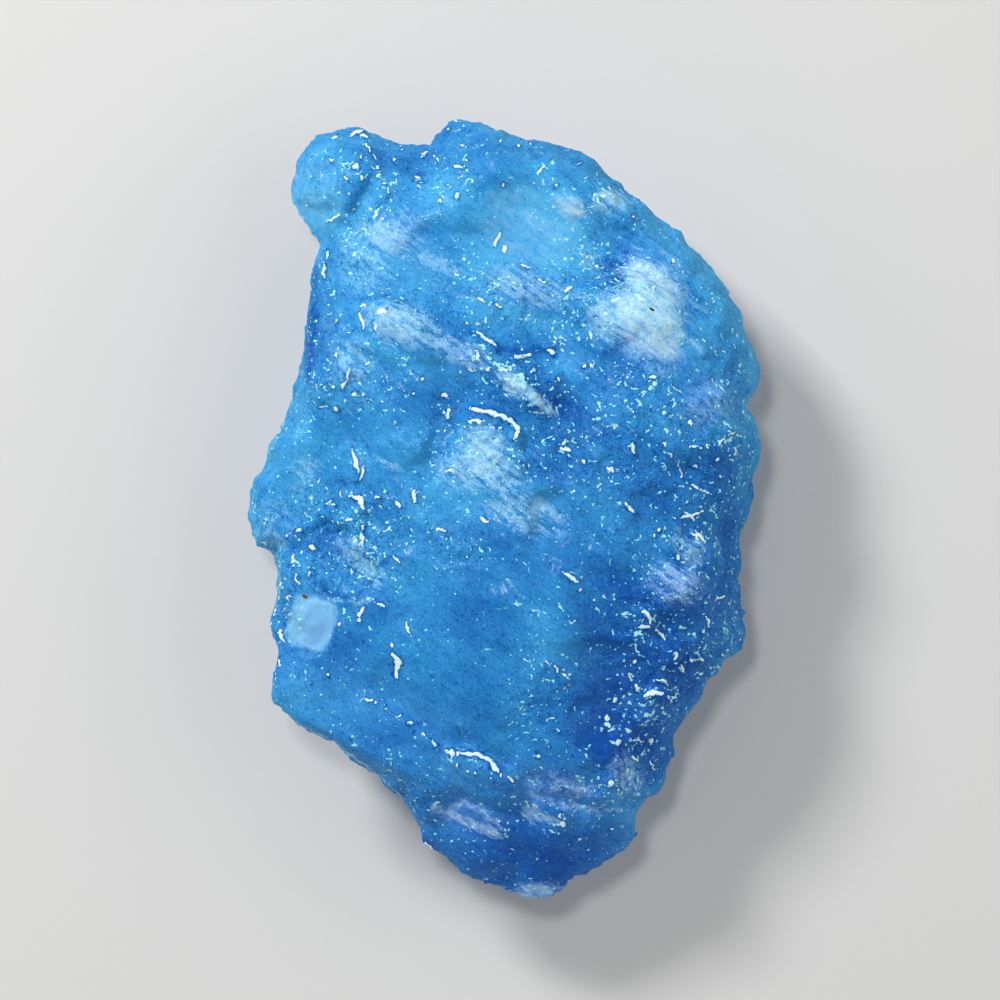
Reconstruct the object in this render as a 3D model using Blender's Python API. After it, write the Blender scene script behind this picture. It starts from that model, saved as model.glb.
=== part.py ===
"""A rough aquamarine crystal: one natural piece of blue beryl, about 78 x 52 x 24 mm, lying on its back.

Row frame: +Z up, out of the show face. +Y runs to the crystal's upper end, +X to the right of the show face.
The origin is the centre of the bounding box's foot, on the flat back that the crystal rests on.

The show face and the back are two height fields over the same outline, which meet at its rim.
The show face is a smooth crown, lowered or raised patch by patch, with ledges, lumps, hollows and
broken facets on it. Planes then cut the broken flanks and the flat back."""

import math

import bmesh
import bpy
import numpy as np
from mathutils import Matrix, Vector, geometry, noise

MM = 0.001  # every size below is in millimetres and becomes metres here

# Driving dimensions, in millimetres and degrees.
RIM_STEP = 0.7  # spacing of the points round the rim
GRID_STEP = 0.62  # spacing of the points inside it
RIM_CLEARANCE = 0.28  # no point inside comes closer to the rim
CROWN = 23.0  # height of the show face before its patches
MIDDLE = (1.0, 2.0)
DOME = (0.0045, 0.0022)  # how fast the crown falls away from the middle, along X and along Y
C_AXIS = -36.0  # bearing of the crystal's long axis in the show face: the way its streaks and ledges run
PRISM_ANGLE = 60.0  # between neighbouring faces of a beryl prism
TRIANGLES = 9200
DRAWN_OUT = 1.5  # how much longer facets and patterns are along the long axis than across it

# The rim, clockwise from the peak at the upper end, as seen from the show side.
UPPER_RIGHT_EDGE = (
    (-4.9, 39.2), (-1.8, 38.2), (1.5, 37.0), (5.5, 36.2), (8.5, 35.1), (10.1, 33.1),
    (13.5, 30.8), (15.2, 29.0), (17.8, 26.9), (19.6, 24.9), (21.5, 22.5), (23.7, 19.6),
)
RIGHT_EDGE = (
    (24.1, 17.4), (25.0, 15.5), (25.1, 12.0), (24.3, 10.4), (25.5, 8.2), (25.8, 5.4),
    (24.8, 3.0), (24.6, 0.5), (23.7, -2.5), (23.3, -4.0), (23.8, -5.3), (23.4, -8.0),
    (23.9, -10.8), (24.0, -12.6), (23.2, -14.6),
)
LOWER_RIGHT_EDGE = (
    (21.3, -16.2), (20.1, -17.3), (19.5, -19.2), (18.0, -20.5), (17.2, -22.5), (16.4, -25.5),
    (15.5, -28.4), (14.3, -29.0), (13.2, -30.5), (13.1, -32.8), (11.6, -34.6), (9.6, -36.0),
)
TIP = ((7.0, -36.8), (5.5, -38.3), (3.8, -39.2), (1.7, -39.2), (0.2, -38.5), (-2.4, -37.4))
LOWER_LEFT_EDGE = (
    (-4.4, -36.1), (-6.6, -34.7), (-7.9, -33.4), (-9.2, -31.4), (-10.2, -29.2), (-12.5, -27.0),
    (-17.0, -23.5), (-21.5, -21.1), (-23.6, -18.8),
)
LEFT_EDGE = (
    (-23.0, -16.0), (-22.7, -14.4), (-23.8, -12.5), (-23.7, -10.8), (-22.8, -9.3), (-23.0, -6.5),
    (-22.8, -4.4),
)
SHELF = ((-25.0, -3.9), (-25.8, -1.5), (-25.6, 0.8), (-25.4, 3.2), (-24.4, 3.5))
UPPER_LEFT_EDGE = (
    (-23.5, 6.8), (-21.9, 8.6), (-21.3, 11.5), (-20.2, 15.0), (-20.0, 19.0), (-19.3, 23.0), (-18.7, 26.8),
)
KNOB = (
    (-20.2, 28.5), (-21.2, 30.0), (-21.4, 32.5), (-20.8, 35.3), (-19.2, 37.3), (-16.5, 38.2),
    (-14.2, 38.2), (-11.8, 37.0), (-9.5, 36.2), (-7.8, 36.2), (-6.6, 37.6), (-5.8, 38.9),
)
OUTLINE = (
    UPPER_RIGHT_EDGE + RIGHT_EDGE + LOWER_RIGHT_EDGE + TIP
    + LOWER_LEFT_EDGE + LEFT_EDGE + SHELF + UPPER_LEFT_EDGE + KNOB
)
# How deep the rim is nicked, by bearing from the middle, and the length of a nick.
CHIP_DEPTHS = (
    (0.0, 0.35), (30.0, 0.3), (50.0, 0.12), (90.0, 0.2), (112.0, 0.15), (140.0, 0.12), (165.0, 0.15),
    (180.0, 0.25), (210.0, 0.25), (218.0, 0.1), (238.0, 0.1), (250.0, 0.25), (280.0, 0.25), (330.0, 0.35),
)
CHIP_LENGTH = 1.25

# Round the rim, by bearing from the middle: (bearing, height of the rim, how far in the show face's
# shoulder reaches, its steepness, how far in the back's shoulder reaches).
SHOULDERS = (
    (0.0, 8.5, 4.5, 2.4, 7.0), (25.0, 11.0, 4.0, 2.4, 6.0), (45.0, 14.0, 2.5, 2.0, 8.0),
    (80.0, 12.0, 3.5, 2.2, 9.0), (98.0, 11.0, 4.0, 2.0, 9.0), (112.0, 9.5, 4.5, 1.8, 9.0),
    (121.0, 10.0, 5.5, 2.2, 7.0), (140.0, 12.0, 2.5, 2.0, 6.0), (160.0, 10.0, 3.5, 1.8, 5.0),
    (180.0, 9.0, 2.0, 2.0, 5.0), (196.0, 11.0, 2.2, 2.0, 6.0), (210.0, 14.5, 1.8, 1.8, 5.0),
    (218.0, 17.0, 1.3, 1.6, 6.0), (238.0, 16.0, 1.3, 1.6, 7.0), (252.0, 13.0, 2.4, 1.8, 6.0),
    (272.0, 11.5, 3.0, 1.8, 9.0), (300.0, 9.0, 4.0, 2.0, 8.0), (330.0, 9.5, 4.6, 2.4, 7.0),
)
UNEVEN_DEPTH = 0.3  # share by which the shoulders reach further in or less far, from place to place
UNEVEN_SIZE = 4.5  # width of such a place
RIM_SLOPE = 0.7  # the least the show face rises in from the rim,
RIM_RISE_REACH = 1.2  # and how far in it does so
BACK_ROUNDING = 1.5  # how rounded the back's shoulder is
BACK_UNEVEN_SHARE = 0.4  # how much of the uneven reach the back's shoulder takes
BACK_SAG = 4.0  # how far the back would hang below its foot before the flat back is cut

# How high each patch of the show face stands over the crown: (x, y, height).
PATCHES = (
    # knob, crease and the saddle beside it
    (-17.0, 35.5, -3.6), (-18.6, 30.6, -4.4), (-14.0, 30.5, -3.4), (-9.5, 34.0, -2.6), (-12.0, 26.5, -0.7),
    # upper field
    (-4.6, 36.5, -2.0), (1.5, 34.6, -1.6), (2.6, 27.6, -2.2), (-5.5, 29.0, -0.9), (-7.5, 23.0, -1.3),
    (7.0, 31.0, -0.9), (10.6, 31.0, -1.5), (11.4, 26.2, -3.0), (17.4, 25.0, -2.2), (1.0, 21.8, -0.9),
    # right upper block and the band beside it
    (14.0, 20.2, 0.9), (19.6, 18.5, -1.2), (23.5, 14.0, -2.6), (9.6, 17.5, -0.7), (3.5, 16.8, -2.2),
    (17.5, 13.5, -0.9), (17.5, 8.0, -0.7), (23.5, 7.0, -2.4), (9.0, 12.5, -0.3),
    # ground under the crease
    (-10.5, 17.8, 0.5), (-3.6, 15.2, 0.2), (1.2, 12.4, 0.4), (-18.2, 21.0, -2.2), (-15.8, 13.4, -0.9),
    (-10.5, 11.0, -0.5), (-6.6, 8.8, -1.3), (6.0, 9.0, -0.9),
    # pale plate and the ground beside it
    (-2.4, 6.2, 0.8), (4.6, 0.0, 0.1), (10.5, 6.5, 0.2), (-12.4, 4.2, -0.3), (-7.5, 1.0, -0.3),
    # left shelf and the slope down to it
    (-22.0, 2.0, -5.4), (-22.6, -1.5, -5.6), (-17.8, 6.5, -3.0), (-19.5, 9.5, -2.8), (-17.0, 1.5, -2.8),
    # rough ground and the bright facet at the left edge
    (-20.6, -5.0, -3.4), (-15.5, -6.4, -0.8), (-20.2, -11.0, -1.6), (-13.4, -11.0, -1.0),
    (-21.5, -14.8, -1.9),
    # lower left plane, lower field
    (-5.5, -14.0, 0.1), (-12.5, -20.8, -1.5), (-18.5, -18.5, -2.0), (4.4, -10.0, 0.7), (-4.0, -5.0, 0.1),
    (5.5, -20.5, -0.4), (-2.4, -23.6, -0.4), (0.5, -16.5, 0.3),
    # right lower band
    (11.6, -6.0, 0.0), (12.0, -12.5, -0.9), (17.0, -8.0, -0.4), (21.5, -4.5, -2.2), (13.0, -18.5, -1.8),
    (19.4, -13.5, -2.4), (17.0, 0.0, -0.8), (22.0, 1.0, -2.3), (10.0, -25.6, -1.5), (14.6, -24.0, -3.0),
    # lower end
    (-4.5, -28.0, -1.9), (-2.5, -31.6, -3.4), (5.5, -31.0, -2.9), (2.4, -37.6, -6.0), (10.5, -32.0, -3.8),
)
PATCH_BLEND = 2.6  # how far one patch runs into the next

# Broad broken faces on the show side: (a point on it, the bearing it faces, its tilt from level,
# how far it runs to each side of the point).
BEVELS = (
    ((19.6, 5.0, 21.2), 2.0, 26.0, 14.0),
    ((15.6, -16.0, 20.2), -28.0, 28.0, 12.0),
    ((2.0, -27.6, 19.8), -84.0, 22.0, 14.0),
    ((14.6, 24.6, 20.4), 50.0, 22.0, 11.0),
    ((-17.4, 18.0, 20.6), 172.0, 40.0, 10.0),
    ((-8.0, -14.0, 22.0), 226.0, 9.0, 20.0),
    ((-16.0, 34.0, 18.4), 118.0, 18.0, 7.0),
    ((0.0, 35.4, 19.8), 84.0, 22.0, 9.0),
    # steeper ones at the rim
    ((24.2, 9.0, 17.0), 12.0, 60.0, 6.0),
    ((23.2, -1.0, 16.4), -8.0, 55.0, 5.0),
    ((22.4, -11.0, 15.4), 4.0, 60.0, 4.0),
    ((17.6, -20.0, 14.4), -36.0, 52.0, 5.0),
    ((13.4, -29.6, 13.4), -14.0, 58.0, 3.5),
    ((6.6, -35.6, 13.4), -62.0, 46.0, 5.0),
    ((-3.4, -34.4, 15.4), -124.0, 38.0, 5.0),
    ((-22.0, -11.0, 16.0), 184.0, 62.0, 4.0),
    ((-20.8, 13.0, 15.4), 162.0, 56.0, 6.0),
    ((-18.6, 25.0, 14.4), 174.0, 54.0, 4.0),
    ((-19.8, 34.4, 14.4), 156.0, 52.0, 3.5),
    ((-12.0, 36.2, 14.0), 72.0, 50.0, 4.0),
    ((2.0, 36.2, 16.2), 72.0, 56.0, 7.0),
    ((22.2, 20.6, 17.0), 38.0, 58.0, 6.0),
)
BEVEL_EDGE = 0.4  # how far the edge of a bevel is rounded
BEVEL_SIDE_SLOPE = 1.2  # how fast the ground rises past a bevel's sides

# Paths of the ledges.
LONG_CREASE = (
    (8.5, 11.0), (4.0, 13.8), (0.0, 14.8), (-3.5, 17.3), (-6.5, 19.3), (-10.5, 20.6), (-14.0, 20.4),
)
UPPER_RIGHT_STRIP = ((7.5, 32.4), (10.6, 28.6), (14.0, 25.4), (18.0, 22.8), (20.6, 20.4))
UPPER_RIGHT_NOTCH = ((12.4, 24.2), (14.6, 22.8), (17.0, 21.6), (19.0, 19.8))
PLATE_LEFT = ((-3.4, 11.2), (-5.2, 7.0), (-7.4, 2.6))
PLATE_LIP = ((4.5, 6.6), (1.9, 5.2), (1.6, 7.4), (0.2, 9.0), (-1.5, 9.7), (-3.4, 9.9))
LOWER_LIP = (
    (1.0, -27.4), (-0.2, -26.0), (-1.6, -24.6), (-3.6, -24.0), (-6.0, -23.9), (-8.6, -21.4), (-12.6, -18.4),
)
LOWER_STEP = ((14.0, -28.6), (9.0, -29.2), (4.0, -28.2), (-0.5, -29.0), (-5.5, -28.0), (-10.0, -29.0))
KNOB_CREASE = (
    (-12.6, 37.2), (-13.2, 34.5), (-14.0, 31.8), (-15.6, 29.4), (-17.0, 27.0), (-17.8, 23.0), (-18.4, 19.0),
)
ABOVE_SHELF = ((-14.4, 7.0), (-14.7, 4.6), (-15.4, 1.6), (-17.4, 0.0), (-19.8, -1.6), (-21.8, -3.6))
LEFT_FACET_EDGE = ((-17.2, -8.6), (-16.9, -11.2), (-18.4, -14.0))
# A ledge's left side, as its path runs, is low, or its right side where the drop is negative:
# (path, how far it drops, width of the drop, how far the low side takes to climb back).
LEDGES = (
    (LONG_CREASE, -1.6, 1.0, 5.0),
    (UPPER_RIGHT_STRIP, -0.8, 1.4, 4.0),
    (UPPER_RIGHT_NOTCH, -1.0, 1.2, 3.0),
    (PLATE_LEFT, -0.9, 0.7, 4.0),
    (PLATE_LIP, -0.7, 0.6, 2.5),
    (LOWER_LIP, -0.9, 0.7, 3.0),
    (LOWER_STEP, 0.9, 1.0, 8.0),
    (KNOB_CREASE, 1.2, 0.9, 4.0),
    (ABOVE_SHELF, -0.6, 0.9, 3.0),
    (LEFT_FACET_EDGE, -0.9, 0.5, 2.5),
)
# Lumps and hollows: (centre, half length, half width, bearing, height). A hollow has a negative
# height and a sharp lip, a lump a soft foot.
LUMPS = (
    ((-16.9, 33.6), 4.4, 3.8, 70.0, 1.4),
    ((17.0, -7.9), 3.2, 2.5, -15.0, 1.0),
    ((-15.6, 14.2), 2.2, 1.0, 75.0, 0.7),
    ((-11.6, 18.4), 3.4, 1.5, -12.0, 0.7),
    ((-3.2, 15.2), 2.6, 1.3, -30.0, 0.6),
    ((1.4, 12.6), 2.8, 1.2, C_AXIS, 0.7),
    ((6.6, 30.4), 2.2, 1.4, C_AXIS, 0.6),
    ((10.8, 31.2), 1.8, 1.4, C_AXIS, 0.6),
    ((-2.2, -30.8), 3.8, 1.0, -25.0, 0.5),
    ((4.6, -29.8), 3.0, 1.0, -12.0, 0.5),
    ((11.4, -26.8), 2.4, 1.8, 70.0, 0.6),
    ((-14.9, -0.4), 1.2, 0.8, 0.0, 0.6),
    ((-20.6, -2.2), 1.6, 0.7, 10.0, 0.6),
    ((16.4, -14.6), 1.4, 0.9, -60.0, 0.6),
    ((15.0, -18.2), 1.8, 0.8, -25.0, 0.6),
    ((13.6, -10.8), 1.1, 0.9, 0.0, 0.5),
)
HOLLOWS = (
    ((2.8, 26.6), 8.0, 6.0, -25.0, -1.0),
    ((11.3, 26.2), 3.2, 1.8, C_AXIS, -0.8),
    ((-15.4, -6.0), 3.6, 2.0, -25.0, -1.0),
    ((-17.6, -2.2), 2.2, 1.4, -40.0, -0.8),
    ((9.6, -20.4), 4.4, 3.0, 30.0, -0.7),
    ((19.6, -1.5), 3.6, 2.2, 20.0, -0.7),
    ((-9.6, 15.4), 3.4, 1.3, C_AXIS, -0.6),
    ((-8.2, 33.6), 2.4, 1.8, 0.0, -0.7),
    ((15.4, -11.6), 1.8, 1.4, 40.0, -0.6),
    ((5.6, 10.6), 4.4, 1.6, C_AXIS, -0.6),
    ((18.0, 4.4), 2.6, 1.8, 10.0, -0.5),
    ((13.4, -22.6), 2.4, 1.6, 30.0, -0.6),
)
# Broken facets, coarse and fine: (size of a facet, how steeply it may tilt, width of the break, seed).
FACETS = ((7.0, 0.15, 0.8, 11.0), (3.2, 0.11, 0.5, 23.0))
BACK_FACETS = (9.0, 0.3, 0.8, 41.0)
LEAN_SEED = Vector((31.0, 17.0, 5.0))
# Low steps that run along the long axis.
STEP_HEIGHT = 0.3
STEP_SPACING = 3.4
STEP_RISER = 0.35  # share of the spacing that a step takes to rise
STEP_WANDER = 0.9  # how far a step strays, as a share of the spacing
STEP_WANDER_SIZE = (26.0, 9.0)  # along the long axis and across it
# Smooth ground, where facets and steps are low: (x, y, radius, share of them that is gone).
CALM = (
    (2.5, 27.0, 7.5, 0.85), (-6.5, 24.5, 4.5, 0.5), (-5.0, -14.0, 9.0, 0.75), (4.4, -9.5, 6.5, 0.7),
    (-13.0, -20.0, 6.5, 0.75), (-21.0, 1.5, 5.0, 0.8), (-18.5, 31.5, 3.6, 0.7), (-20.0, -11.5, 3.0, 0.8),
    (5.0, 17.5, 4.5, 0.5), (-1.0, -19.5, 6.0, 0.6),
)
ROUGHNESS = 0.16
ROUGHNESS_SIZE = 2.9
FLANK_ROUGHNESS = 3.0  # how many times rougher the steepest ground is

# The broken flanks, each as a plane: (a point on it, the bearing it faces, how far below the
# horizon it faces; above the horizon where that is negative).
FLANKS = (
    ((-17.0, -24.2, 7.8), C_AXIS - 90.0, 90.0 - PRISM_ANGLE),
    ((16.0, 28.6, 10.0), C_AXIS + 90.0, 90.0 - PRISM_ANGLE),
    ((24.4, 6.0, 6.5), 4.0, 38.0),
    ((22.8, -12.0, 6.0), -22.0, 30.0),
    ((14.4, -31.0, 4.5), -40.0, 42.0),
    ((1.0, -38.6, 4.0), -92.0, 35.0),
    ((-25.0, 0.0, 5.0), 183.0, 36.0),
    ((-22.8, -14.0, 7.0), 196.0, 26.0),
    ((-20.4, 20.0, 5.5), 170.0, 40.0),
    ((-17.0, 37.8, 6.0), 118.0, 44.0),
    ((0.0, 37.8, 7.0), 74.0, 36.0),
)
BACK = ((0.0, 0.0, 0.0), 0.0, 90.0)
CRYSTAL_BLUE = (0.045, 0.25, 0.58, 1.0)


def clear_scene():
    for thing in list(bpy.data.objects):
        bpy.data.objects.remove(thing)


def by_bearing(table, x, y):
    """The columns of a table after its first, read at each point's bearing from the middle."""
    bearings = np.degrees(np.arctan2(y - MIDDLE[1], x - MIDDLE[0])) % 360.0
    rows = np.array(table)
    return [np.interp(bearings, rows[:, 0], column, period=360.0) for column in rows[:, 1:].T]


def noise_at(points, seed, octaves=4):
    """Fractal noise at each (x, y) of an array."""
    return np.array([noise.fractal(Vector((*p, seed)), 0.9, 2.1, octaves) for p in points])


def rim_points():
    """The rim as points RIM_STEP apart, nicked in and out of its outline."""
    corners = np.array(OUTLINE)
    sides = np.roll(corners, -1, axis=0) - corners
    lengths = np.hypot(*sides.T)
    ends = np.concatenate([[0.0], np.cumsum(lengths)])
    along = np.linspace(0.0, ends[-1], round(ends[-1] / RIM_STEP), endpoint=False)
    side = np.searchsorted(ends, along, side="right") - 1
    points = corners[side] + sides[side] * ((along - ends[side]) / lengths[side])[:, None]
    outward = np.stack([-sides[side][:, 1], sides[side][:, 0]], axis=1) / lengths[side][:, None]
    (depths,) = by_bearing(CHIP_DEPTHS, *points.T)
    return points + outward * (noise_at(points / CHIP_LENGTH, 3.0) * depths)[:, None]


def path_distance(x, y, path):
    """(distance from a path, positive on its left as it runs, and how far past its ends each point is)."""
    best = np.full(x.shape, np.inf)
    signed, past = np.zeros(x.shape), np.zeros(x.shape)
    for (ax, ay), (bx, by) in zip(path, path[1:]):
        dx, dy = bx - ax, by - ay
        length = math.hypot(dx, dy)
        along = ((x - ax) * dx + (y - ay) * dy) / length
        across = ((y - ay) * dx - (x - ax) * dy) / length
        before, after = np.maximum(-along, 0.0), np.maximum(along - length, 0.0)
        distance = np.hypot(across, before + after)
        nearer = distance < best
        best = np.where(nearer, distance, best)
        signed = np.where(nearer, np.where(across < 0, -distance, distance), signed)
        beyond = before * ((ax, ay) == path[0]) + after * ((bx, by) == path[-1])
        past = np.where(nearer, beyond, past)
    return signed, past


def smooth(share):
    share = np.clip(share, 0.0, 1.0)
    return share * share * (3.0 - 2.0 * share)


def crown(x, y):
    """The show face with its patches, before anything sharp is put on it."""
    height = CROWN - DOME[0] * (x - MIDDLE[0]) ** 2 - DOME[1] * (y - MIDDLE[1]) ** 2
    total, weight = 1e-9, 1e-9
    for patch_x, patch_y, level in PATCHES:
        near = np.exp(-((x - patch_x) ** 2 + (y - patch_y) ** 2) / (2 * PATCH_BLEND ** 2)) + 1e-9
        total, weight = total + near * level, weight + near
    return height + total / weight


def ledge(x, y, path, drop, width, climb):
    signed, past = path_distance(x, y, path)
    low_side = signed if drop > 0 else -signed
    fade = np.exp(-np.clip(low_side, 0.0, None) / climb - (past / (2.0 * width)) ** 2)
    return -abs(drop) * smooth(low_side / width + 0.5) * fade


def turned(x, y, centre, bearing):
    """x and y measured from a centre, along a bearing and across it."""
    angle = math.radians(bearing)
    dx, dy = x - centre[0], y - centre[1]
    return dx * math.cos(angle) + dy * math.sin(angle), dy * math.cos(angle) - dx * math.sin(angle)


def lump(x, y, centre, half_length, half_width, bearing, height):
    along, across = turned(x, y, centre, bearing)
    return height * np.exp(-1.4 * ((along / half_length) ** 2 + (across / half_width) ** 2) ** 1.4)


def hollow(x, y, centre, half_length, half_width, bearing, height):
    along, across = turned(x, y, centre, bearing)
    inside = 1.0 - (along / half_length) ** 2 - (across / half_width) ** 2
    return height * np.clip(inside, 0.0, 1.0) ** 0.8


def facets(x, y, size, tilt, width, seed):
    """Flat facets, drawn out along the long axis, that meet at narrow breaks."""
    along, across = turned(x, y, (0.0, 0.0), C_AXIS)
    along = along / DRAWN_OUT
    column, row = np.floor(along / size), np.floor(across / size)
    distances, heights = [], []
    for i in (-1, 0, 1):
        for j in (-1, 0, 1):
            cells = np.stack([column + i, row + j, np.full(x.shape, seed)], axis=-1)
            jitter = np.array([noise.cell_vector(Vector(cell)) for cell in cells.reshape(-1, 3)])
            centre_along = (column + i + jitter[:, 0]) * size
            centre_across = (row + j + jitter[:, 1]) * size
            lean = np.array([noise.cell_vector(Vector(cell) + LEAN_SEED) for cell in cells]) - 0.5
            off_along, off_across = along - centre_along, across - centre_across
            distances.append(np.hypot(off_along, off_across))
            slope = lean[:, 0] * off_along + lean[:, 1] * off_across
            heights.append(2 * tilt * (slope + 0.5 * size * lean[:, 2]))
    distances, heights = np.array(distances), np.array(heights)
    weights = np.exp(-(distances - distances.min(axis=0)) / (0.3 * width))
    return (weights * heights).sum(axis=0) / weights.sum(axis=0)


def steps(x, y):
    """Low steps that run along the long axis, wandering a little."""
    along, across = turned(x, y, (0.0, 0.0), C_AXIS)
    wander = noise_at(np.stack([along, across], axis=1) / STEP_WANDER_SIZE, 4.0)
    level = across / STEP_SPACING + STEP_WANDER * wander
    tread = np.floor(level)
    return STEP_HEIGHT * (tread + smooth((level - tread) / STEP_RISER) - level)


def relief(x, y):
    """What stands on the smooth crown or is cut into it."""
    height = steps(x, y)
    for item in FACETS:
        height += facets(x, y, *item)
    for calm_x, calm_y, radius, share in CALM:
        height *= 1.0 - share * np.exp(-(((x - calm_x) ** 2 + (y - calm_y) ** 2) / radius ** 2) ** 2)
    for item in LEDGES:
        height += ledge(x, y, *item)
    for item in LUMPS:
        height += lump(x, y, *item)
    for item in HOLLOWS:
        height += hollow(x, y, *item)
    return height


def flat_points(rim):
    """Points inside the rim on a triangular grid, none of them close to it."""
    (west, south), (east, north) = rim.min(axis=0), rim.max(axis=0)
    rows = np.arange(south, north, GRID_STEP * math.sqrt(3) / 2)
    columns = np.arange(west, east, GRID_STEP)
    x = np.tile(columns, (len(rows), 1)) + (np.arange(len(rows)) % 2)[:, None] * GRID_STEP / 2
    y = np.tile(rows[:, None], (1, len(columns)))
    closed = [tuple(p) for p in rim] + [tuple(rim[0])]
    depth = -path_distance(x.ravel(), y.ravel(), closed)[0]
    inside = is_inside(x.ravel(), y.ravel(), closed)
    keep = inside & (np.abs(depth) > RIM_CLEARANCE)
    return np.stack([x.ravel()[keep], y.ravel()[keep]], axis=1), np.abs(depth[keep])


def is_inside(x, y, closed):
    odd = np.zeros(x.shape, bool)
    for (ax, ay), (bx, by) in zip(closed, closed[1:]):
        if ay != by:
            crosses = (ay > y) != (by > y)
            odd ^= crosses & (x < ax + (bx - ax) * (y - ay) / (by - ay))
    return odd


def bevelled(x, y, height):
    """A height held down to the planes of BEVELS, with their edges a little rounded."""
    for (px, py, pz), bearing, tilt, half_width in BEVELS:
        out, aside = turned(x, y, (px, py), bearing)
        beyond = np.maximum(np.abs(aside) - half_width, 0.0)
        over = height - (pz - out * math.tan(math.radians(tilt)) + BEVEL_SIDE_SLOPE * beyond)
        height = height - 0.5 * (over + np.hypot(over, BEVEL_EDGE))
    return height


def face_heights(x, y, depth):
    """Heights of the show face and of the back at points whose depth in from the rim is known."""
    rim_height, reach, steepness, back_reach = by_bearing(SHOULDERS, x, y)
    uneven = depth * (1.0 + UNEVEN_DEPTH * noise_at(np.stack([x, y], axis=1) / UNEVEN_SIZE, 5.0, 2))
    rise = 1.0 - (1.0 - np.clip(uneven / reach, 0.0, 1.0)) ** steepness
    broad = bevelled(x, y, rim_height + (crown(x, y) - rim_height) * rise)
    least = rim_height + RIM_SLOPE * np.minimum(depth, RIM_RISE_REACH)
    show = np.maximum(broad, least) + relief(x, y) * rise
    fall = (depth + BACK_UNEVEN_SHARE * (uneven - depth)) / back_reach
    shoulder = np.minimum(fall, 1.0)
    back = rim_height * (1.0 - shoulder ** BACK_ROUNDING) - BACK_SAG * np.clip(fall - 1.0, 0.0, 1.0)
    return show, back + shoulder * facets(x, y, *BACK_FACETS)


def uncut_body():
    """Show face and back over one triangulation of the outline, joined at the rim."""
    rim = rim_points()
    inner, depth = flat_points(rim)
    count = len(rim)
    flat = [Vector(p) for p in np.concatenate([rim, inner])]
    edges = [(i, (i + 1) % count) for i in range(count)]
    laid, _, triangles, origins, _, _ = geometry.delaunay_2d_cdt(flat, edges, [], 1, 1e-4)
    if len(laid) != len(flat):
        raise ValueError("the rim crosses itself")
    show, back = face_heights(*inner.T, depth)
    rim_height = by_bearing(SHOULDERS, *rim.T)[0]
    # the triangulation may give the points in another order; origins tells which was which
    place = [origin[0] for origin in origins]
    shape = bmesh.new()
    upper = [shape.verts.new((*p, h)) for p, h in zip(rim * MM, rim_height * MM)]
    lower = list(upper)
    upper += [shape.verts.new((*p, h)) for p, h in zip(inner * MM, show * MM)]
    lower += [shape.verts.new((*p, h)) for p, h in zip(inner * MM, back * MM)]
    for corners in triangles:
        a, b, c = (place[corner] for corner in corners)
        shape.faces.new((upper[a], upper[b], upper[c]))
        if max(a, b, c) >= count:
            shape.faces.new((lower[c], lower[b], lower[a]))
    return shape


def roughen(shape):
    """Moves every point a little along its normal, so that steep ground is rough too."""
    points = np.array([v.co for v in shape.verts]) / MM
    amounts = ROUGHNESS * np.array([noise.fractal(Vector(p) / ROUGHNESS_SIZE, 0.9, 2.1, 4) for p in points])
    shape.normal_update()
    for vertex, amount in zip(shape.verts, amounts):
        steepness = 1.0 - abs(vertex.normal.z)
        vertex.co += vertex.normal * amount * (1.0 + FLANK_ROUGHNESS * steepness) * MM


def cut(shape, point, bearing, below):
    """Breaks off what lies past a plane, and closes the shape with one flat face there."""
    across, down = math.radians(bearing), math.radians(below)
    facing = Vector((math.cos(across) * math.cos(down), math.sin(across) * math.cos(down), -math.sin(down)))
    everything = shape.verts[:] + shape.edges[:] + shape.faces[:]
    found = bmesh.ops.bisect_plane(
        shape, geom=everything, plane_co=Vector(point) * MM, plane_no=facing, clear_outer=True
    )
    edges = [e for e in found["geom_cut"] if isinstance(e, bmesh.types.BMEdge)]
    bmesh.ops.triangle_fill(shape, use_beauty=True, edges=edges, normal=facing)


def body_object(shape):
    mesh = bpy.data.meshes.new("aquamarine_crystal")
    shape.to_mesh(mesh)
    shape.free()
    body = bpy.data.objects.new("aquamarine_crystal", mesh)
    bpy.context.collection.objects.link(body)
    return body


def thin_out(body):
    """Merges the fine faces into TRIANGLES of them, the smallest left where the relief is sharp."""
    thinner = body.modifiers.new("thin out", "DECIMATE")
    thinner.ratio = TRIANGLES / len(body.data.polygons)
    bpy.context.view_layer.objects.active = body
    bpy.ops.object.modifier_apply(modifier=thinner.name)


def centre_over_origin(body):
    """Moves the mesh so that the origin is the centre of its box's foot."""
    points = np.array([v.co for v in body.data.vertices])
    low, high = points.min(axis=0), points.max(axis=0)
    middle = (low + high) / 2
    body.data.transform(Matrix.Translation((-middle[0], -middle[1], -low[2])))


def give_material(body):
    crystal = bpy.data.materials.new("aquamarine")
    crystal.use_nodes = True
    shader = crystal.node_tree.nodes["Principled BSDF"]
    shader.inputs["Base Color"].default_value = CRYSTAL_BLUE
    shader.inputs["Roughness"].default_value = 0.2
    shader.inputs["Metallic"].default_value = 0.0
    shader.inputs["Transmission Weight"].default_value = 0.5
    body.data.materials.append(crystal)


clear_scene()
crystal_shape = uncut_body()
roughen(crystal_shape)
for plane in FLANKS + (BACK,):
    cut(crystal_shape, *plane)
bmesh.ops.triangulate(crystal_shape, faces=[f for f in crystal_shape.faces if len(f.verts) > 3])
bmesh.ops.recalc_face_normals(crystal_shape, faces=crystal_shape.faces)
crystal = body_object(crystal_shape)
thin_out(crystal)
centre_over_origin(crystal)
give_material(crystal)
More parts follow.
